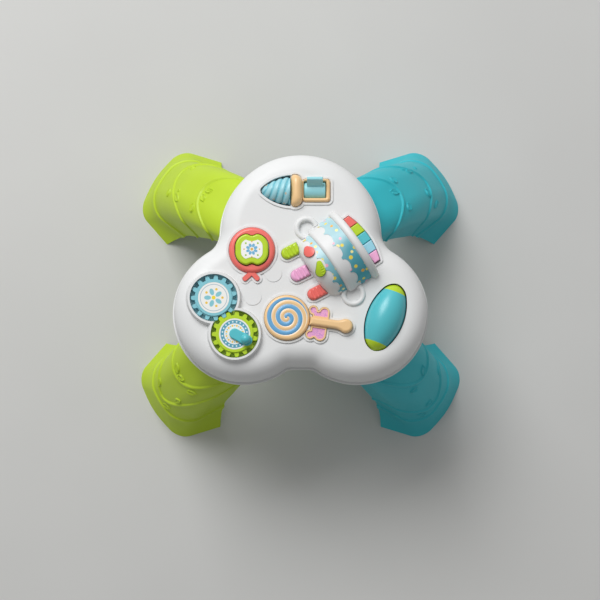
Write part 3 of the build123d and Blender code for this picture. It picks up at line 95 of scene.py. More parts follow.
class Bench:
    """Short ways to lay nodes in one tree."""

    def __init__(self, tree):
        self.tree = tree

    def feed(self, socket, value):
        if isinstance(value, bpy.types.NodeSocket):
            self.tree.links.new(value, socket)
        else:
            socket.default_value = value

    def node(self, kind, inputs=None, **settings):
        made = self.tree.nodes.new(kind)
        for key, value in settings.items():
            setattr(made, key, value)
        for key, value in (inputs or {}).items():
            self.feed(made.inputs[key], value)
        return made

    def math(self, operation, *values):
        made = self.node("ShaderNodeMath", operation=operation)
        for socket, value in zip(made.inputs, values):
            self.feed(socket, value)
        return made.outputs[0]

    def band(self, value, low, high):
        """Smooth 0 to 1 as the value passes from low to high."""
        made = self.node("ShaderNodeMapRange", {"Value": value, "From Min": low, "From Max": high})
        made.interpolation_type = "SMOOTHSTEP"
        return made.outputs[0]

    def mix(self, share, first, second):
        made = self.node("ShaderNodeMix", data_type="RGBA")
        for index, value in ((0, share), (6, first), (7, second)):
            self.feed(made.inputs[index], value)
        return made.outputs[2]

    def split(self, vector):
        return self.node("ShaderNodeSeparateXYZ", {"Vector": vector}).outputs

    def join(self, x, y, z=0.0):
        return self.node("ShaderNodeCombineXYZ", {"X": x, "Y": y, "Z": z}).outputs[0]

    def place(self):
        """Place on the object in millimetres."""
        where = self.node("ShaderNodeTexCoord").outputs["Object"]
        return self.stretch(where, (1 / MM, 1 / MM, 1 / MM))

    def stretch(self, vector, factors):
        return self.node("ShaderNodeVectorMath", {0: vector, 1: factors}, operation="MULTIPLY").outputs[0]

    def noise(self, where, scale, detail, **more):
        inputs = {"Vector": where, "Scale": scale, "Detail": detail, **more}
        return self.node("ShaderNodeTexNoise", inputs).outputs[0]

    def opposite(self, value):
        """1 where the value is 0 and 0 where it is 1."""
        return self.math("SUBTRACT", 1.0, value)


def effect(name, inputs, outputs):
    """New shader node group with named sockets; gives its bench and both ends."""
    group = bpy.data.node_groups.new(name, "ShaderNodeTree")
    for label, kind in inputs:
        group.interface.new_socket(label, in_out="INPUT", socket_type=kind)
    for label, kind in outputs:
        group.interface.new_socket(label, in_out="OUTPUT", socket_type=kind)
    bench = Bench(group)
    return group, bench, bench.node("NodeGroupInput").outputs, bench.node("NodeGroupOutput").inputs


FLOAT = "NodeSocketFloat"
COLOUR = "NodeSocketColor"


def make_moulded_skin():
    """Moulded plastic: slow clouding of the colour, handling marks in the gloss, spark-eroded grain."""
    group, bench, given, out = effect(
        "moulded_skin",
        (("Color", COLOUR), ("Clouding", FLOAT), ("Gloss", FLOAT), ("Grain", FLOAT)),
        (("Color", COLOUR), ("Roughness", FLOAT), ("Height", FLOAT)))
    where = bench.place()
    cloud = bench.noise(where, 0.022, 3.0, Roughness=0.6)
    shift = bench.math("MULTIPLY", bench.math("SUBTRACT", cloud, 0.5), given["Clouding"])
    value = bench.math("ADD", shift, 1.0)
    tone = bench.node("ShaderNodeHueSaturation", {"Color": given["Color"], "Value": value})
    bench.feed(out["Color"], tone.outputs[0])
    marks = bench.noise(bench.stretch(where, (0.05, 0.4, 0.11)), 1.0, 4.0, Roughness=0.7)
    rub = bench.math("MULTIPLY_ADD", bench.math("SUBTRACT", marks, 0.5), 0.22, given["Gloss"])
    bench.feed(out["Roughness"], rub)
    grain = bench.noise(where, 1.6, 2.0, Roughness=0.5)
    bench.feed(out["Height"], bench.math("MULTIPLY", grain, given["Grain"]))
    return group


def make_round_place():
    """Distance in millimetres and share of a turn about an upright axis."""
    group, bench, given, out = effect(
        "round_place", (("Across", FLOAT), ("Along", FLOAT)), (("Distance", FLOAT), ("Turn", FLOAT)))
    x, y, z = bench.split(bench.place())
    x = bench.math("SUBTRACT", x, given["Across"])
    y = bench.math("SUBTRACT", y, given["Along"])
    square = bench.math("MULTIPLY_ADD", x, x, bench.math("MULTIPLY", y, y))
    bench.feed(out["Distance"], bench.math("SQRT", square))
    turn = bench.math("DIVIDE", bench.math("ARCTAN2", y, x), 2 * math.pi)
    bench.feed(out["Turn"], bench.math("FRACT", bench.math("ADD", turn, 1.0)))
    return group


MOULDED_SKIN = make_moulded_skin()
ROUND_PLACE = make_round_place()


def plastic(name, colour, gloss=0.34, clouding=0.05, grain=0.25, coat=0.12, coat_blur=0.2, draw=None):
    """Moulded plastic of one colour, or with a print that draw lays over it."""
    material = bpy.data.materials.new(name)
    material.use_nodes = True
    bench = Bench(material.node_tree)
    shader = material.node_tree.nodes["Principled BSDF"]
    skin = bench.node("ShaderNodeGroup", node_tree=MOULDED_SKIN)
    bench.feed(skin.inputs["Color"], draw(bench, colour) if draw else colour)
    skin.inputs["Clouding"].default_value = clouding
    skin.inputs["Gloss"].default_value = gloss
    skin.inputs["Grain"].default_value = grain
    bump = bench.node("ShaderNodeBump", {"Strength": 0.12, "Distance": 0.0004})
    bench.feed(bump.inputs["Height"], skin.outputs["Height"])
    bench.feed(shader.inputs["Base Color"], skin.outputs["Color"])
    bench.feed(shader.inputs["Roughness"], skin.outputs["Roughness"])
    bench.feed(shader.inputs["Normal"], bump.outputs[0])
    shader.inputs["Coat Weight"].default_value = coat
    shader.inputs["Coat Roughness"].default_value = coat_blur
    shader.inputs["Specular IOR Level"].default_value = 0.45
    return material


def polar(bench, centre):
    """Distance and turn about a toy's axis."""
    made = bench.node("ShaderNodeGroup", {"Across": centre[0], "Along": centre[1]}, node_tree=ROUND_PLACE)
    return made.outputs["Distance"], made.outputs["Turn"]


def ring_mask(bench, distance, middle, half, soft=0.25):
    """1 on a ring of the given half width."""
    off = bench.math("ABSOLUTE", bench.math("SUBTRACT", distance, middle))
    return bench.opposite(bench.band(off, half - soft, half + soft))


def petals(bench, distance, turn, count, middle, length, width, start=0.0):
    """1 on oval petals set round a circle."""
    share = bench.math("FRACT", bench.math("MULTIPLY_ADD", turn, float(count), start))
    swing = bench.math("MULTIPLY", bench.math("SUBTRACT", share, 0.5), 2 * math.pi / count)
    across = bench.math("DIVIDE", bench.math("MULTIPLY", bench.math("SINE", swing), distance), width)
    along = bench.math("MULTIPLY", bench.math("COSINE", swing), distance)
    along = bench.math("DIVIDE", bench.math("SUBTRACT", along, middle), length)
    size = bench.math("MULTIPLY_ADD", across, across, bench.math("MULTIPLY", along, along))
    return bench.opposite(bench.band(size, 0.82, 1.12))


def film_print(centre, marks):
    """Rings (middle, half width) and petals (count, middle, length, width, start) about a toy's axis."""
    def draw(bench, ground):
        distance, turn = polar(bench, centre)
        colour = ground
        for mark, shade in marks:
            if len(mark) == 2:
                mask = ring_mask(bench, distance, *mark)
            else:
                mask = petals(bench, distance, turn, *mark)
            colour = bench.mix(mask, colour, shade)
        return colour
    return draw


# Pinwheel of blue and yellow petals inside a thin ring
blue_gear_print = film_print(BLUE_GEAR, (
    ((17.6, 0.5), chip(172, 190, 202)), ((5, 8.0, 4.6, 2.9), GEAR_BLUE), ((5, 11.6, 1.7, 1.7, 0.5), OCHRE),
    ((0.0, 2.6), chip(240, 214, 40))))
# Blue ring with pale beads, then ochre and blue beads inside it
green_gear_print = film_print(GREEN_GEAR, (
    ((16.2, 2.4), chip(86, 160, 184)), ((20, 16.2, 1.1, 1.1), chip(222, 240, 244)),
    ((12, 11.0, 1.3, 1.3), OCHRE), ((12, 11.0, 0.9, 0.9, 0.5), GEAR_BLUE)))
# Blue flower with an ochre heart and green buds at the corners
apple_print = film_print(APPLE, (
    ((8, 5.4, 2.6, 1.9), chip(112, 178, 214)), ((0.0, 1.9), HONEY), ((4, 11.2, 1.3, 1.3), chip(160, 196, 70)),
    ((4, 10.2, 1.0, 1.0, 0.5), HONEY)))

# Gear wells in the panel: radius and height of their edge
WELL_R = 31.6
WELL_TOP = 249.0


def painted_well_bounce(bench, ground):
    """White panel with painted bounce light in its two gear wells: the gears' colours, paler than the gears
    to lift the shade there.
    """
    height = bench.split(bench.place())[2]
    deep = bench.opposite(bench.band(height, WELL_TOP - 0.5, WELL_TOP))
    colour = ground
    for centre, shade in ((BLUE_GEAR, BLUE_WELL_BOUNCE), (GREEN_GEAR, GREEN_WELL_BOUNCE)):
        distance, turn = polar(bench, centre)
        inside = bench.opposite(bench.band(distance, WELL_R, WELL_R + 0.3))
        # Painted bounce light: the deep part of each well takes its gear's pale colour
        colour = bench.mix(bench.math("MULTIPLY", deep, inside), colour, shade)
    return colour


def cake_place(bench):
    """Distance along the cake from its top tier and arc length round it, in millimetres."""
    x, y, z = bench.split(bench.place())
    x = bench.math("SUBTRACT", x, CAKE[0])
    y = bench.math("SUBTRACT", y, CAKE[1])
    cosine = math.cos(math.radians(CAKE_TURN))
    sine = math.sin(math.radians(CAKE_TURN))
    along = bench.math("MULTIPLY_ADD", x, cosine, bench.math("MULTIPLY", y, sine))
    across = bench.math("MULTIPLY_ADD", y, cosine, bench.math("MULTIPLY", x, -sine))
    rise = bench.math("SUBTRACT", z, CAKE[2])
    return along, bench.math("MULTIPLY", bench.math("ARCTAN2", across, rise), CAKE_R)


def cake_print(bench, ground):
    """Icing that deepens round the cake and towards the plate, partly a printed fade and partly painted shade
    on the side of the roll where shade falls, strewn with sugar drops.
    """
    along, round_cake = cake_place(bench)
    lean = bench.math("SUBTRACT", bench.math("MULTIPLY", along, 0.6), round_cake)
    fade = bench.band(lean, -40.0, 48.0)
    plan = bench.join(along, round_cake)
    lap = bench.noise(plan, 0.05, 1.0)
    fade = bench.math("MULTIPLY_ADD", bench.math("SUBTRACT", lap, 0.5), 0.5, fade)
    # Painted shade mixed with the printed fade: the deep colour grows round the roll and towards the plate
    colour = bench.mix(fade, ground, DEEP_ICING_AND_SHADE)
    drops = bench.node("ShaderNodeTexVoronoi", {"Vector": plan, "Scale": 0.088}, voronoi_dimensions="2D")
    drops.inputs["Randomness"].default_value = 0.62
    ramp = bench.node("ShaderNodeValToRGB")
    ramp.color_ramp.interpolation = "CONSTANT"
    for spot, shade in DROP_SHADES[2:]:
        ramp.color_ramp.elements.new(spot)
    elements = sorted(ramp.color_ramp.elements, key=lambda element: element.position)
    for element, (spot, shade) in zip(elements, DROP_SHADES):
        element.position = spot
        element.color = shade
    pick = bench.split(drops.outputs["Color"])
    bench.feed(ramp.inputs[0], pick[0])
    size = bench.math("MULTIPLY_ADD", pick[1], 0.08, 0.15)
    past = bench.math("SUBTRACT", drops.outputs["Distance"], size)
    return bench.mix(bench.opposite(bench.band(past, -0.02, 0.03)), colour, ramp.outputs[0])


def bow_print(bench, ground):
    """Lilac curls over pink."""
    curls = bench.noise(bench.place(), 0.32, 1.0, Distortion=1.6)
    line = bench.math("ABSOLUTE", bench.math("SUBTRACT", curls, 0.5))
    return bench.mix(bench.opposite(bench.band(line, 0.015, 0.04)), ground, LILAC)


# Soft-serve swirl: middle of its base, ridges round it and their lead
SWIRL = (-13.6, 101.0, 245.0)
SWIRL_TURNS = 3
SWIRL_LEAD = 26.0


def swirl_print(bench, ground):
    """Pale ridges with painted shade darkening the grooves between them, and a few biscuit crumbs."""
    x, y, z = bench.split(bench.place())
    turn = bench.math("ARCTAN2", bench.math("SUBTRACT", z, SWIRL[2]), bench.math("SUBTRACT", y, SWIRL[1]))
    climb = bench.math("MULTIPLY", bench.math("SUBTRACT", x, SWIRL[0]), math.pi * SWIRL_TURNS / SWIRL_LEAD)
    winding = bench.math("MULTIPLY_ADD", turn, SWIRL_TURNS / 2, climb)
    ridge = bench.math("ABSOLUTE", bench.math("SINE", winding))
    # Painted shade: the grooves of the swirl's geometry are drawn darker than its ridges
    colour = bench.mix(bench.band(ridge, 0.05, 0.9), GROOVE_SHADE_BLUE, ground)
    crumbs = bench.node("ShaderNodeTexVoronoi", {"Vector": bench.place(), "Scale": 0.085, "Randomness": 0.9})
    inside = bench.opposite(bench.band(crumbs.outputs["Distance"], 0.14, 0.19))
    return bench.mix(inside, colour, CRUMB)


# Lollipop spiral: width of one blue and one tan lap, and the share of a turn where it starts
SPIRAL_PITCH = 11.6
SPIRAL_START = -0.015


def lollipop_print(bench, ground):
    """Blue and tan laps with a cream line on both sides of the blue one."""
    distance, turn = polar(bench, LOLLIPOP)
    laps = bench.math("ADD", bench.math("DIVIDE", distance, SPIRAL_PITCH), turn)
    phase = bench.math("FRACT", bench.math("ADD", laps, SPIRAL_START))
    off = bench.math("ABSOLUTE", bench.math("SUBTRACT", phase, 0.5))
    cream = bench.opposite(bench.band(off, 0.31, 0.35))
    blue = bench.opposite(bench.band(off, 0.225, 0.255))
    inside = bench.opposite(bench.band(distance, 26.4, 27.0))
    colour = bench.mix(bench.math("MULTIPLY", cream, inside), ground, CREAM)
    return bench.mix(bench.math("MULTIPLY", blue, inside), colour, SUGAR_BLUE)


FINISHES = {
    "white_shell": plastic("white_shell", WHITE, gloss=0.5, clouding=0.02, coat=0.03),
    "panel_shell": plastic("panel_shell", WHITE, gloss=0.5, clouding=0.02, coat=0.03, draw=painted_well_bounce),
    "lime_leg": plastic("lime_leg", LEG_LIME, gloss=0.5, clouding=0.08, grain=0.5, coat=0.12, coat_blur=0.45),
    "teal_leg": plastic("teal_leg", TEAL, gloss=0.5, clouding=0.08, grain=0.5, coat=0.12, coat_blur=0.45),
    "lime_gloss": plastic("lime_gloss", LIME),
    "teal_gloss": plastic("teal_gloss", TOY_TEAL),
    "lever_teal": plastic("lever_teal", LEVER_TEAL),
    "gear_blue": plastic("gear_blue", GEAR_BLUE),
    "biscuit": plastic("biscuit", TAN),
    "coral_gloss": plastic("coral_gloss", CORAL),
    "pink_gloss": plastic("pink_gloss", PINK),
    "sky_gloss": plastic("sky_gloss", SKY),
    "swirl_ice": plastic("swirl_ice", PALE_TEAL, draw=swirl_print),
    "lollipop_sugar": plastic("lollipop_sugar", TAN, draw=lollipop_print),
    "bow_cloth_print": plastic("bow_cloth_print", PINK, draw=bow_print),
    "cake_icing": plastic("cake_icing", PALE_ICING, gloss=0.38, draw=cake_print),
    "apple_film": plastic("apple_film", APPLE_FILM, gloss=0.4, draw=apple_print),
    "blue_gear_film": plastic("blue_gear_film", FILM, gloss=0.4, draw=blue_gear_print),
    "green_gear_film": plastic("green_gear_film", FILM, gloss=0.4, draw=green_gear_print),
    "board_resin": plastic("board_resin", chip(60, 120, 70), gloss=0.5),
    "dome_silicone": plastic("dome_silicone", chip(190, 188, 182), gloss=0.6, coat=0.0),
    "matte_black": plastic("matte_black", chip(40, 40, 44), gloss=0.55, coat=0.0),
    "plated_steel": plastic("plated_steel", chip(190, 190, 192), gloss=0.3, clouding=0.1, coat=0.0),
}
FINISHES["plated_steel"].node_tree.nodes["Principled BSDF"].inputs["Metallic"].default_value = 1.0

# Nodes that wear each finish
WEARS = {
    "white_shell": ["base_shell", "cake_dome", "battery_door"],
    "panel_shell": ["top_panel"],
    "lime_leg": ["leg_rear_left", "leg_front_left"],
    "teal_leg": ["leg_rear_right", "leg_front_right"],
    "lime_gloss": ["pear_button", "apple_button", "roller_cap_rear", "roller_cap_front", "candle_key_lime",
                   "piano_key_lime", "green_gear"],
    "teal_gloss": ["crank_knob", "roller_barrel", "piano_key_teal"],
    "lever_teal": ["flip_lever"],
    "gear_blue": ["blue_gear"],
    "biscuit": ["cone_bezel", "lollipop_stick", "bow_frame"],
    "coral_gloss": ["apple_bezel", "strawberry_button", "candle_key_red", "piano_key_coral"],
    "pink_gloss": ["candle_key_pink", "piano_key_pink"],
    "sky_gloss": ["piano_key_sky"],
    "swirl_ice": ["swirl_roller"],
    "lollipop_sugar": ["lollipop_disc", "lollipop_spiral"],
    "bow_cloth_print": ["bow_panel"],
    "cake_icing": ["cake_band_lower", "cake_band_upper"],
    "apple_film": ["apple_label"],
    "blue_gear_film": ["blue_gear_label"],
    "green_gear_film": ["green_gear_label"],
    "board_resin": ["main_board", "apple_board", "piano_board", "fruit_board"],
    "dome_silicone": ["key_domes", "piano_domes", "fruit_domes"],
    "matte_black": ["speaker_cone", "power_switch", "switch_housing", "battery_cells"],
    "plated_steel": ["panel_screws", "swirl_axle", "lollipop_screw", "blue_gear_screw", "green_gear_screw",
                     "roller_axle", "piano_key_rod", "battery_contacts", "battery_door_screw",
                     "speaker_basket"],
}
for finish, names in WEARS.items():
    for name in names:
        nodes[name].data.materials.clear()
        nodes[name].data.materials.append(FINISHES[finish])


def smooth_through(places, heights, wanted):
    """Natural cubic spline through a few points."""
    x, y = np.array(places, float), np.array(heights, float)
    step = np.diff(x)
    slope = np.diff(y) / step
    system = np.eye(len(x))
    pull = np.zeros(len(x))
    for k in range(1, len(x) - 1):
        system[k, k - 1:k + 2] = step[k - 1], 2 * (step[k - 1] + step[k]), step[k]
        pull[k] = 3 * (slope[k] - slope[k - 1])
    bend = np.linalg.solve(system, pull)
    k = np.clip(np.searchsorted(x, wanted, side="right") - 1, 0, len(x) - 2)
    d = wanted - x[k]
    first = slope[k] - step[k] * (2 * bend[k] + bend[k + 1]) / 3
    return y[k] + first * d + bend[k] * d ** 2 + (bend[k + 1] - bend[k]) / (3 * step[k]) * d ** 3


def make_piece(name, points, faces, finish, body, nodes_hidden=(), crease=35):
    """Mesh piece in millimetres that rides a body and may stand in for its CAD nodes."""
    mesh = bpy.data.meshes.new(name)
    mesh.from_pydata((np.asarray(points) * MM).tolist(), [], faces)
    mesh.polygons.foreach_set("use_smooth", [True] * len(mesh.polygons))
    mesh.set_sharp_from_angle(angle=math.radians(crease))
    mesh.materials.append(FINISHES[finish])
    piece = bpy.data.objects.new(name, mesh)
    bpy.context.scene.collection.objects.link(piece)
    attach(piece, body)
    if nodes_hidden:
        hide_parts(*nodes_hidden)
    return piece


def quads(rows, columns, first=0, flip=False):
    """Faces of a grid of points laid row by row."""
    faces = []
    for r in range(rows - 1):
        for c in range(columns - 1):
            low = first + r * columns + c
            face = (low, low + 1, low + columns + 1, low + columns)
            faces.append(face[::-1] if flip else face)
    return faces


def hoops(rows, spokes, first=0, joined=False, flip=False):
    """Faces between closed rings of points laid one after another, the last joined to the first if asked."""
    faces = []
    for row in range(rows if joined else rows - 1):
        low = first + row * spokes
        high = first + (row + 1) % rows * spokes
        for k in range(spokes):
            after = (k + 1) % spokes
            face = (low + k, low + after, high + after, high + k)
            faces.append(face[::-1] if flip else face)
    return faces


def lid(first, spokes, flip=False):
    """One face over a closed ring of points."""
    face = tuple(range(first, first + spokes))
    return face[::-1] if flip else face


def tube(rows, spokes, first=0, flip=False):
    """Faces of rings laid one after another, closed at both ends."""
    ends = [lid(first, spokes, not flip), lid(first + (rows - 1) * spokes, spokes, flip)]
    return hoops(rows, spokes, first, flip=flip) + ends


# Leg form: height, reach of face and lips, half width at face and lips, corner radius, bow of the face
LEG_FORM = np.array((
    (0, 255.5, 196, 53, 70, 25, 6), (12, 251, 189, 49, 61, 27, 5.5), (30, 245, 179, 46, 52, 30, 5),
    (65, 231, 166, 44, 49, 32, 4), (105, 212, 148, 44, 48, 33, 2.5), (145, 185, 128, 43, 47, 33, 0.8),
    (172, 158, 104, 43, 46, 32, 0), (196, 124, 70, 42, 45, 30, 0)))
LEG_OFFSET = 26.5
LEG_WALL = 3.0
LEG_CAP = 3.0
BAND_Z = 33.0
BAND_HALF = 4.0
RELIEF = 2.0
VINE_HALF = 2.6
LEAF_RISE = 1.3
LEAF_RIM = 0.8
LEAF_GROOVE = 1.0
VINE_SPOTS = np.linspace(-1, 1, 7)

# Per leg: turn, side, finish, slot, heights of both vines from the clockwise lip to the other,
# and leaves (height, place along the girth, lie, length)
LEGS = {
    "leg_rear_right": (33, 1, "teal_leg", "teal_plastic",
        ((52, 88, 98, 89, 113, 128, 132), (150, 166, 164, 155, 167, 178, 182)),
        ((111, 21, -105, 13), (152, 17, -163, 13.6), (162, 1, 59, 15), (102, -17, -151, 15),
         (152, -26, -155, 14), (78, -35, -33, 14), (118, 28, -145, 6), (85, 24, 180, 6))),
    "leg_rear_left": (147, -1, "lime_leg", "lime_plastic",
        ((120, 112, 92, 89, 114, 116, 92), (190, 184, 166, 154, 163, 166, 144)),
        ((88, 18, 165, 12.6), (116, 21, 62, 17), (114, 11, 136, 6), (101, -28, -151, 11), (152, 27, 157, 15),
         (162, 8, -132, 15), (164, -4, 118, 13))),
    "leg_front_left": (213, 1, "lime_leg", "lime_plastic",
        ((50, 60, 61, 50, 88, 128, 132), (96, 104, 109, 110, 138, 170, 178)),
        ((118, -17, 155, 14), (115, -4, 28, 14), (114, 21, 33, 15), (78, 16, 71, 13), (44, 10, 33, 15),
         (61, -21, 128, 13))),
    "leg_front_right": (-33, -1, "teal_leg", "teal_plastic",
        ((62, 76, 61, 51, 69, 60, 44), (180, 172, 145, 113, 111, 102, 94)),
        ((117, 15, 48, 16), (74, 33, -9, 14), (111, -14, -28, 14), (62, -12, -15, 12.6), (50, -30, -35, 13))),
}


def channel(face, lip, half_face, half_lip, corner, shares):
    """Open section from lip (share -1) over the face to the other lip (share 1), and its half girth."""
    start = complex(lip, -half_lip)
    knee = complex(face, -half_face)
    run = (knee - start) / abs(knee - start)
    bend = math.acos(run.imag)
    tangent = corner * math.tan(bend / 2)
    leave, join = knee - run * tangent, knee + 1j * tangent
    centre = leave + 1j * run * corner
    straight, arc = abs(leave - start), corner * bend
    girth = straight + arc - join.imag
    s = (1 - np.abs(shares)) * girth
    round_part = centre + (leave - centre) * np.exp(1j * (s - straight) / corner)
    points = np.where(s < straight, start + run * s, round_part)
    points = np.where(s > straight + arc, join + 1j * (s - straight - arc), points)
    return np.where(shares > 0, np.conj(points), points), girth


def leg_relief(girth, slant, heights, shares, vines, leaves):
    """Height of the raised band, vines and leaves over the leg's outer face."""
    off = np.abs(heights[:, None] - BAND_Z) + 0 * girth
    relief = RELIEF * np.clip((BAND_HALF + 0.6 - off) / 1.2, 0, 1)
    for vine in vines:
        line = smooth_through(VINE_SPOTS, vine, shares)
        climb = np.gradient(slant, heights).mean()
        lean = np.cos(np.arctan(np.gradient(line * climb, girth[len(girth) // 2])))
        off = np.abs(slant[:, None] - np.interp(line, heights, slant)[None, :]) * lean[None, :]
        relief = np.maximum(relief, RELIEF * np.sqrt(np.clip(1 - (off / VINE_HALF) ** 2, 0, 1)))
    for height, along, lie, length in leaves:
        across = girth - along
        up = slant[:, None] - np.interp(height, heights, slant)
        turn = math.radians(lie)
        main = across * math.cos(turn) + up * math.sin(turn)
        side = np.abs(up * math.cos(turn) - across * math.sin(turn))
        inside = 0.31 * length * (1 - (2 * main / length) ** 2) - side
        inside = np.where(np.abs(main) < length / 2, inside, -9)
        blade = LEAF_RISE * np.clip(inside / 0.8 + 0.3, 0, 1)
        blade += LEAF_RIM * np.exp(-((inside - 0.7) / 0.6) ** 2)
        blade -= LEAF_GROOVE * np.exp(-(side / 0.6) ** 2) * (inside > 1.0)
        relief = np.maximum(relief, np.where(inside > -0.6, blade, 0))
    return relief


def model_leg(name):
    """Channel leg with a flared foot, a band above it, two climbing vines and their leaves."""
    turn, side, finish, slot, vines, leaves = LEGS[name]
    top = LEG_FORM[-1, 0]
    rows, columns = (210, 191) if DETAIL else (60, 51)
    heights = np.append(np.linspace(0, top - LEG_CAP, rows - 1), top)
    shares = np.linspace(-1, 1, columns)
    form = [smooth_through(LEG_FORM[:, 0], LEG_FORM[:, k], heights) for k in range(1, 7)]
    outer, inner, girth = [], [], []
    for face, lip, half_face, half_lip, corner, bow in zip(*form):
        flare = (half_lip - half_face) / (face - lip)
        section, half_girth = channel(face, lip, half_face, half_lip, corner, shares)
        outer.append(section + bow * np.clip(1 - (section.imag / half_face) ** 2, 0, 1) ** 2)
        girth.append(shares * half_girth)
        thin = half_face - LEG_WALL
        section, half_girth = channel(face - LEG_WALL, lip, thin, thin + flare * (face - LEG_WALL - lip),
                                      corner - LEG_WALL, shares)
        inner.append(section + bow * np.clip(1 - (section.imag / thin) ** 2, 0, 1) ** 2)
    outer, inner, girth = np.array(outer), np.array(inner), np.array(girth)
    slant = np.append(0, np.cumsum(np.hypot(np.diff(heights), np.diff(form[0]))))
    relief = leg_relief(girth, slant, heights, shares, vines, leaves)

    def lay(section, levels):
        return np.dstack((section.real, section.imag, levels[:, None] + 0 * section.real))

    skin = lay(outer, heights)
    normal = np.cross(np.gradient(skin, axis=1), np.gradient(skin, axis=0))
    normal /= np.linalg.norm(normal, axis=2)[:, :, None]
    skin += normal * relief[:, :, None]
    skin[:, :, 2] = np.clip(skin[:, :, 2], 0, top)
    lining = lay(inner[:-1], heights[:-1])
    points = np.vstack((skin.reshape(-1, 3), lining.reshape(-1, 3)))
    points[:, 1] += side * LEG_OFFSET
    cosine = math.cos(math.radians(turn))
    sine = math.sin(math.radians(turn))
    points = points @ np.array(((cosine, sine, 0), (-sine, cosine, 0), (0, 0, 1)))

    wide = columns
    second = rows * wide
    faces = quads(rows, wide) + quads(rows - 1, wide, second, flip=True)
    faces += [(c + 1, c, second + c, second + c + 1) for c in range(wide - 1)]
    for r in range(rows - 2):
        low, high = r * wide, (r + 1) * wide
        faces.append((low, high, second + high, second + low))
        low, high = low + wide - 1, high + wide - 1
        faces.append((high, low, second + low, second + high))
    roof = second + (rows - 2) * wide
    under = (rows - 2) * wide
    crown = (rows - 1) * wide
    faces.append(lid(crown, wide))
    faces.append(lid(roof, wide, flip=True))
    faces.append((crown, under, roof, roof + wide - 1, under + wide - 1, crown + wide - 1)[::-1])
    make_piece(name + "_vined", points, faces, finish, "table", (name,))


for leg_name in LEGS:
    model_leg(leg_name)

# Pear button: middle and turn on the cake, then ribs from (along, across) to (along, across) in its own plan
PEAR = (-17.0, -4.5, 65.0)
PEAR_RIBS = (((-7.6, -0.6), (-7.4, -4.6)), ((-4.8, -0.4), (-3.4, -5.6)), ((-1.8, -0.3), (0.2, -4.9)),
             ((1.2, -0.2), (3.0, -3.9)), ((4.0, -0.2), (5.4, -2.8)))
RIB_HALF = 0.75
RIB_RISE = 0.6
RIB_STEPS = 11
RIB_SIDES = 8
ABOVE_TOYS = 400.0


def turned(across, up, degrees):
    """Plan vector turned about the upright axis."""
    angle = math.radians(degrees)
    return (across * math.cos(angle) - up * math.sin(angle), across * math.sin(angle) + up * math.cos(angle))


def model_pear_ribs():
    """Raised ribs down one side of the pear button, laid on its surface."""
    skin = nodes["pear_button"].data
    tree = BVHTree.FromPolygons([v.co for v in skin.vertices], [tuple(p.vertices) for p in skin.polygons])
    points, faces = [], []
    for start, end in PEAR_RIBS:
        first = len(points)
        centres = []
        for share in np.linspace(0, 1, RIB_STEPS):
            u = start[0] + (end[0] - start[0]) * share ** 1.5
            v = start[1] + (end[1] - start[1]) * share
            u, v = turned(u, v, PEAR[2])
            x, y = turned(PEAR[0] + u, PEAR[1] + v, CAKE_TURN)
            above = Vector((CAKE[0] + x, CAKE[1] + y, ABOVE_TOYS)) * MM
            spot, normal, index, gap = tree.ray_cast(above, Vector((0, 0, -1)))
            centres.append((np.array(spot) / MM, np.array(normal)))
        for k, (centre, normal) in enumerate(centres):
            ahead = centres[min(k + 1, RIB_STEPS - 1)][0] - centres[max(k - 1, 0)][0]
            aside = np.cross(normal, ahead / np.linalg.norm(ahead))
            swell = math.sqrt(math.sin(math.pi * (k + 0.35) / (RIB_STEPS - 0.3)))
            for side in np.arange(RIB_SIDES) * 2 * math.pi / RIB_SIDES:
                out = aside * RIB_HALF * math.cos(side) + normal * RIB_RISE * math.sin(side)
                points.append(centre + swell * out)
        faces += tube(RIB_STEPS, RIB_SIDES, first)
    make_piece("pear_ribs", points, faces, "lime_gloss", "pear", crease=70)


model_pear_ribs()

# Soft-serve swirl: reach from the collar and radius there, and the depth between its ridges
SWIRL_FORM = np.array((
    (0, 19.4), (10, 18.0), (20, 14.9), (28, 11.2), (33, 8.2), (36.2, 5.2), (37.8, 2.6), (38.2, 0.8)))
SWIRL_DEPTH = 2.6


def model_swirl():
    """Ice-cream swirl roller: a pointed dome with rounded ridges wound towards its tip."""
    steps, spokes = (72, 150) if DETAIL else (24, 60)
    knots = np.arange(len(SWIRL_FORM))
    spots = np.linspace(0, knots[-1], steps)
    reach, plain = (smooth_through(knots, column, spots)[:, None] for column in SWIRL_FORM.T)
    turns = np.arange(spokes) * 2 * math.pi / spokes
    ridge = np.abs(np.sin(SWIRL_TURNS * (turns / 2 - math.pi * reach / SWIRL_LEAD)))
    radius = plain * (1 - SWIRL_DEPTH / SWIRL_FORM[0, 1] * (1 - np.sqrt(ridge)))
    rings = np.dstack((-reach + 0 * radius, radius * np.cos(turns), radius * np.sin(turns)))
    points = rings.reshape(-1, 3) + np.array(SWIRL)
    faces = tube(steps, spokes, flip=True)
    make_piece("swirl_soft_serve", points, faces, "swirl_ice", "swirl", ("swirl_roller",), 70)


model_swirl()

# Biscuit cone of the ice cream: plateau it stands on, crowned collar and the powers that round it off,
# then the rim round the lever's window (middle, length, width, corner radius)
PLATEAU_Z = 250.0
COLLAR_X = (-13.0, 3.0)
COLLAR_HALF = 21.6
COLLAR_RISE = 12.6
COLLAR_SHOULDER = 11.0
COLLAR_TAPER = 5.0
COLLAR_TAPER_POWER = 1.6
COLLAR_END_POWER = 10
CROWN_END_POWER = 4
CROWN_POWER = 0.8
RIM_OUTER = (21.0, 101.0, 37.0, 31.0, 5.0)
RIM_INNER = (19.0, 102.0, 29.4, 22.0, 1.5)
RIM_RISE = 5.4
RIM_POWER = 0.7


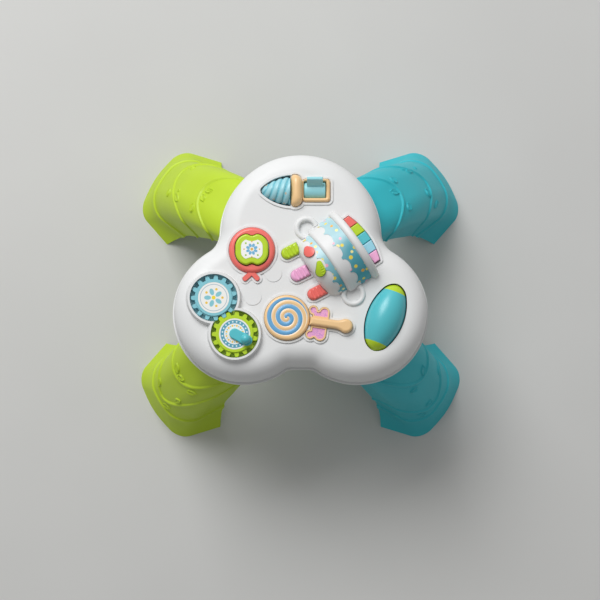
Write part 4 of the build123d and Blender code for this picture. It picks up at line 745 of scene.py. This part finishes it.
def model_cone():
    """Collar crowned like baked dough, narrowing towards the window's rim."""
    rows, arch = (49, 25) if DETAIL else (25, 13)
    share = np.sin(np.linspace(-1, 1, rows) * math.pi / 2 * 0.985)[:, None]
    bend = np.linspace(0, math.pi, arch)
    past = np.abs(share) * COLLAR_HALF - COLLAR_SHOULDER
    taper = np.clip(past / (COLLAR_HALF - COLLAR_SHOULDER), 0, 1)
    right = COLLAR_X[1] - COLLAR_TAPER * taper ** COLLAR_TAPER_POWER
    half = (right - COLLAR_X[0]) / 2 * np.sqrt(1 - np.abs(share) ** COLLAR_END_POWER)
    rise = COLLAR_RISE * np.sqrt(1 - np.abs(share) ** CROWN_END_POWER)
    across = (COLLAR_X[0] + right) / 2 + half * np.cos(bend)
    along = SWIRL[1] + COLLAR_HALF * share + 0 * bend
    points = np.dstack((across, along, PLATEAU_Z + rise * np.sin(bend) ** CROWN_POWER)).reshape(-1, 3)
    faces = tube(rows, arch, flip=True)
    make_piece("cone_collar_crown", points, faces, "biscuit", "table", ("cone_bezel",), 80)


def soft_frame(x, y, length, width, corner, steps=8):
    """Points round a rectangle with round corners."""
    points = []
    for quarter in range(4):
        side = (1 if quarter in (0, 3) else -1, 1 if quarter < 2 else -1)
        for turn in np.linspace(quarter, quarter + 1, steps) * math.pi / 2:
            points.append((x + side[0] * (length / 2 - corner) + corner * math.cos(turn),
                           y + side[1] * (width / 2 - corner) + corner * math.sin(turn)))
    return np.array(points)


def model_rim():
    """Rounded rim of the cone round the flip lever's window."""
    inner = soft_frame(*RIM_INNER)
    outer = soft_frame(*RIM_OUTER)
    loops = []
    for turn in np.linspace(0, math.pi, 17 if DETAIL else 9):
        flat = inner + (outer - inner) * (0.5 - 0.5 * math.cos(turn))
        height = PLATEAU_Z + RIM_RISE * abs(math.sin(turn)) ** RIM_POWER
        loops.append(np.column_stack((flat, np.full(len(flat), height))))
    faces = hoops(len(loops), len(inner), joined=True, flip=True)
    make_piece("cone_window_rim", np.vstack(loops), faces, "biscuit", "table", crease=60)


model_cone()
model_rim()

# Lollipop disc: sizes, then radius and height under it, down its shaft and up the screw hole
CANDY_R = 30.0
CANDY_TOP = 257.0
CANDY_CROWN = 1.2
CANDY_GROOVE = 1.1
CANDY_RIM_R = 26.6
CANDY_UNDER = ((30.0, 248.6), (27.0, 248.6), (4.0, 248.6), (4.0, 244.4), (1.4, 244.4), (1.4, 252.4))


def candy_height(distance, turns):
    """Top of the disc: both laps swell like twisted sugar and sink where they meet."""
    phase = distance / SPIRAL_PITCH + turns / (2 * math.pi) + SPIRAL_START
    swell = np.sqrt(np.abs(np.sin((phase - 0.25) * 2 * math.pi)))
    fade = np.clip((CANDY_RIM_R - distance) / 2, 0, 1)
    crown = CANDY_TOP - CANDY_CROWN * (distance / CANDY_R) ** 2
    return crown - CANDY_GROOVE * (1 - swell) * fade


def model_candy():
    """Spinning lollipop disc with a twisted top, a round rim and its shaft."""
    rings, spokes = (64, 200) if DETAIL else (24, 72)
    turns = np.arange(spokes) * 2 * math.pi / spokes
    across = np.linspace(0, CANDY_RIM_R, rings)[1:]
    bend = np.radians(np.linspace(10, 90, 9))
    edge = CANDY_R - CANDY_RIM_R
    shoulder = candy_height(CANDY_RIM_R, 0.0)
    under = np.array(CANDY_UNDER)
    radii = np.concatenate((across, CANDY_RIM_R + edge * np.sin(bend), under[:, 0]))[:, None]
    plain = np.concatenate((shoulder - edge * (1 - np.cos(bend)), under[:, 1]))[:, None] + 0 * turns
    heights = np.vstack((candy_height(across[:, None], turns), plain))
    grid = np.dstack((LOLLIPOP[0] + radii * np.cos(turns), LOLLIPOP[1] + radii * np.sin(turns), heights))
    points = np.vstack((grid.reshape(-1, 3), (*LOLLIPOP, CANDY_TOP - CANDY_GROOVE)))
    faces = hoops(len(radii), spokes, flip=True)
    faces += [(len(points) - 1, k, (k + 1) % spokes) for k in range(spokes)]
    faces.append(lid(len(points) - 1 - spokes, spokes, flip=True))
    make_piece("lollipop_candy", points, faces, "lollipop_sugar", "lollipop",
               ("lollipop_disc", "lollipop_spiral"), crease=60)


model_candy()

# Stage: half width and tones of the floor, the room's light and its lean towards the wall behind the table,
# the key lamp, and the camera almost straight above
FLOOR_REACH = 6.0
FLOOR_TONES = (chip(200, 200, 198), chip(208, 208, 206))
ROOM_LIGHT = 0.36
ROOM_LEAN = 0.42
KEY_PLACE = (-0.85, 1.6, 2.3)
KEY_TARGET = (0, 0, 0.15)
KEY_SIZE = 1.5
KEY_POWER = 63
CAMERA_TARGET = Vector((-0.0007, -0.0088, 0.0))
CAMERA_TILT = math.radians(8.25)
CAMERA_AWAY = 4.0
CAMERA_LENS = 170.8


def lay_floor():
    """Plain pale floor far wider than the view."""
    mesh = bpy.data.meshes.new("floor")
    corners = [(x * FLOOR_REACH, y * FLOOR_REACH, 0) for x, y in ((-1, -1), (1, -1), (1, 1), (-1, 1))]
    mesh.from_pydata(corners, [], [(0, 1, 2, 3)])
    floor = bpy.data.objects.new("floor", mesh)
    bpy.context.scene.collection.objects.link(floor)
    material = bpy.data.materials.new("pale_floor")
    material.use_nodes = True
    bench = Bench(material.node_tree)
    shader = material.node_tree.nodes["Principled BSDF"]
    cloud = bench.noise(bench.place(), 0.004, 2.0)
    bench.feed(shader.inputs["Base Color"], bench.mix(cloud, *FLOOR_TONES))
    shader.inputs["Roughness"].default_value = 0.85
    shader.inputs["Specular IOR Level"].default_value = 0.2
    mesh.materials.append(material)


def light_stage():
    """Room light that is stronger towards the rear, and one large key lamp."""
    world = bpy.data.worlds.new("studio")
    bpy.context.scene.world = world
    world.use_nodes = True
    back = world.node_tree.nodes["Background"]
    bench = Bench(world.node_tree)
    towards = bench.split(bench.node("ShaderNodeTexCoord").outputs["Generated"])[1]
    back.inputs["Color"].default_value = (1.0, 1.0, 1.0, 1.0)
    strength = bench.math("MULTIPLY_ADD", towards, ROOM_LEAN * ROOM_LIGHT, ROOM_LIGHT)
    bench.feed(back.inputs["Strength"], strength)
    lamp = bpy.data.lights.new("key_light", "AREA")
    lamp.size = KEY_SIZE
    lamp.energy = KEY_POWER
    key = bpy.data.objects.new("key_light", lamp)
    bpy.context.scene.collection.objects.link(key)
    key.location = KEY_PLACE
    key.rotation_euler = (Vector(KEY_TARGET) - Vector(KEY_PLACE)).to_track_quat("-Z", "Y").to_euler()


def set_camera():
    """Long lens almost straight above, tilted a little towards the front."""
    data = bpy.data.cameras.new("camera")
    data.sensor_width = 36
    data.lens = CAMERA_LENS
    camera = bpy.data.objects.new("camera", data)
    bpy.context.scene.collection.objects.link(camera)
    back = Vector((0, -math.sin(CAMERA_TILT), math.cos(CAMERA_TILT)))
    camera.location = CAMERA_TARGET + back * CAMERA_AWAY
    camera.rotation_euler = (-back).to_track_quat("-Z", "Y").to_euler()
    data.clip_start = 0.05
    data.clip_end = 60
    bpy.context.scene.camera = camera


lay_floor()
light_stage()
set_camera()
bpy.context.scene.view_settings.view_transform = "Standard"
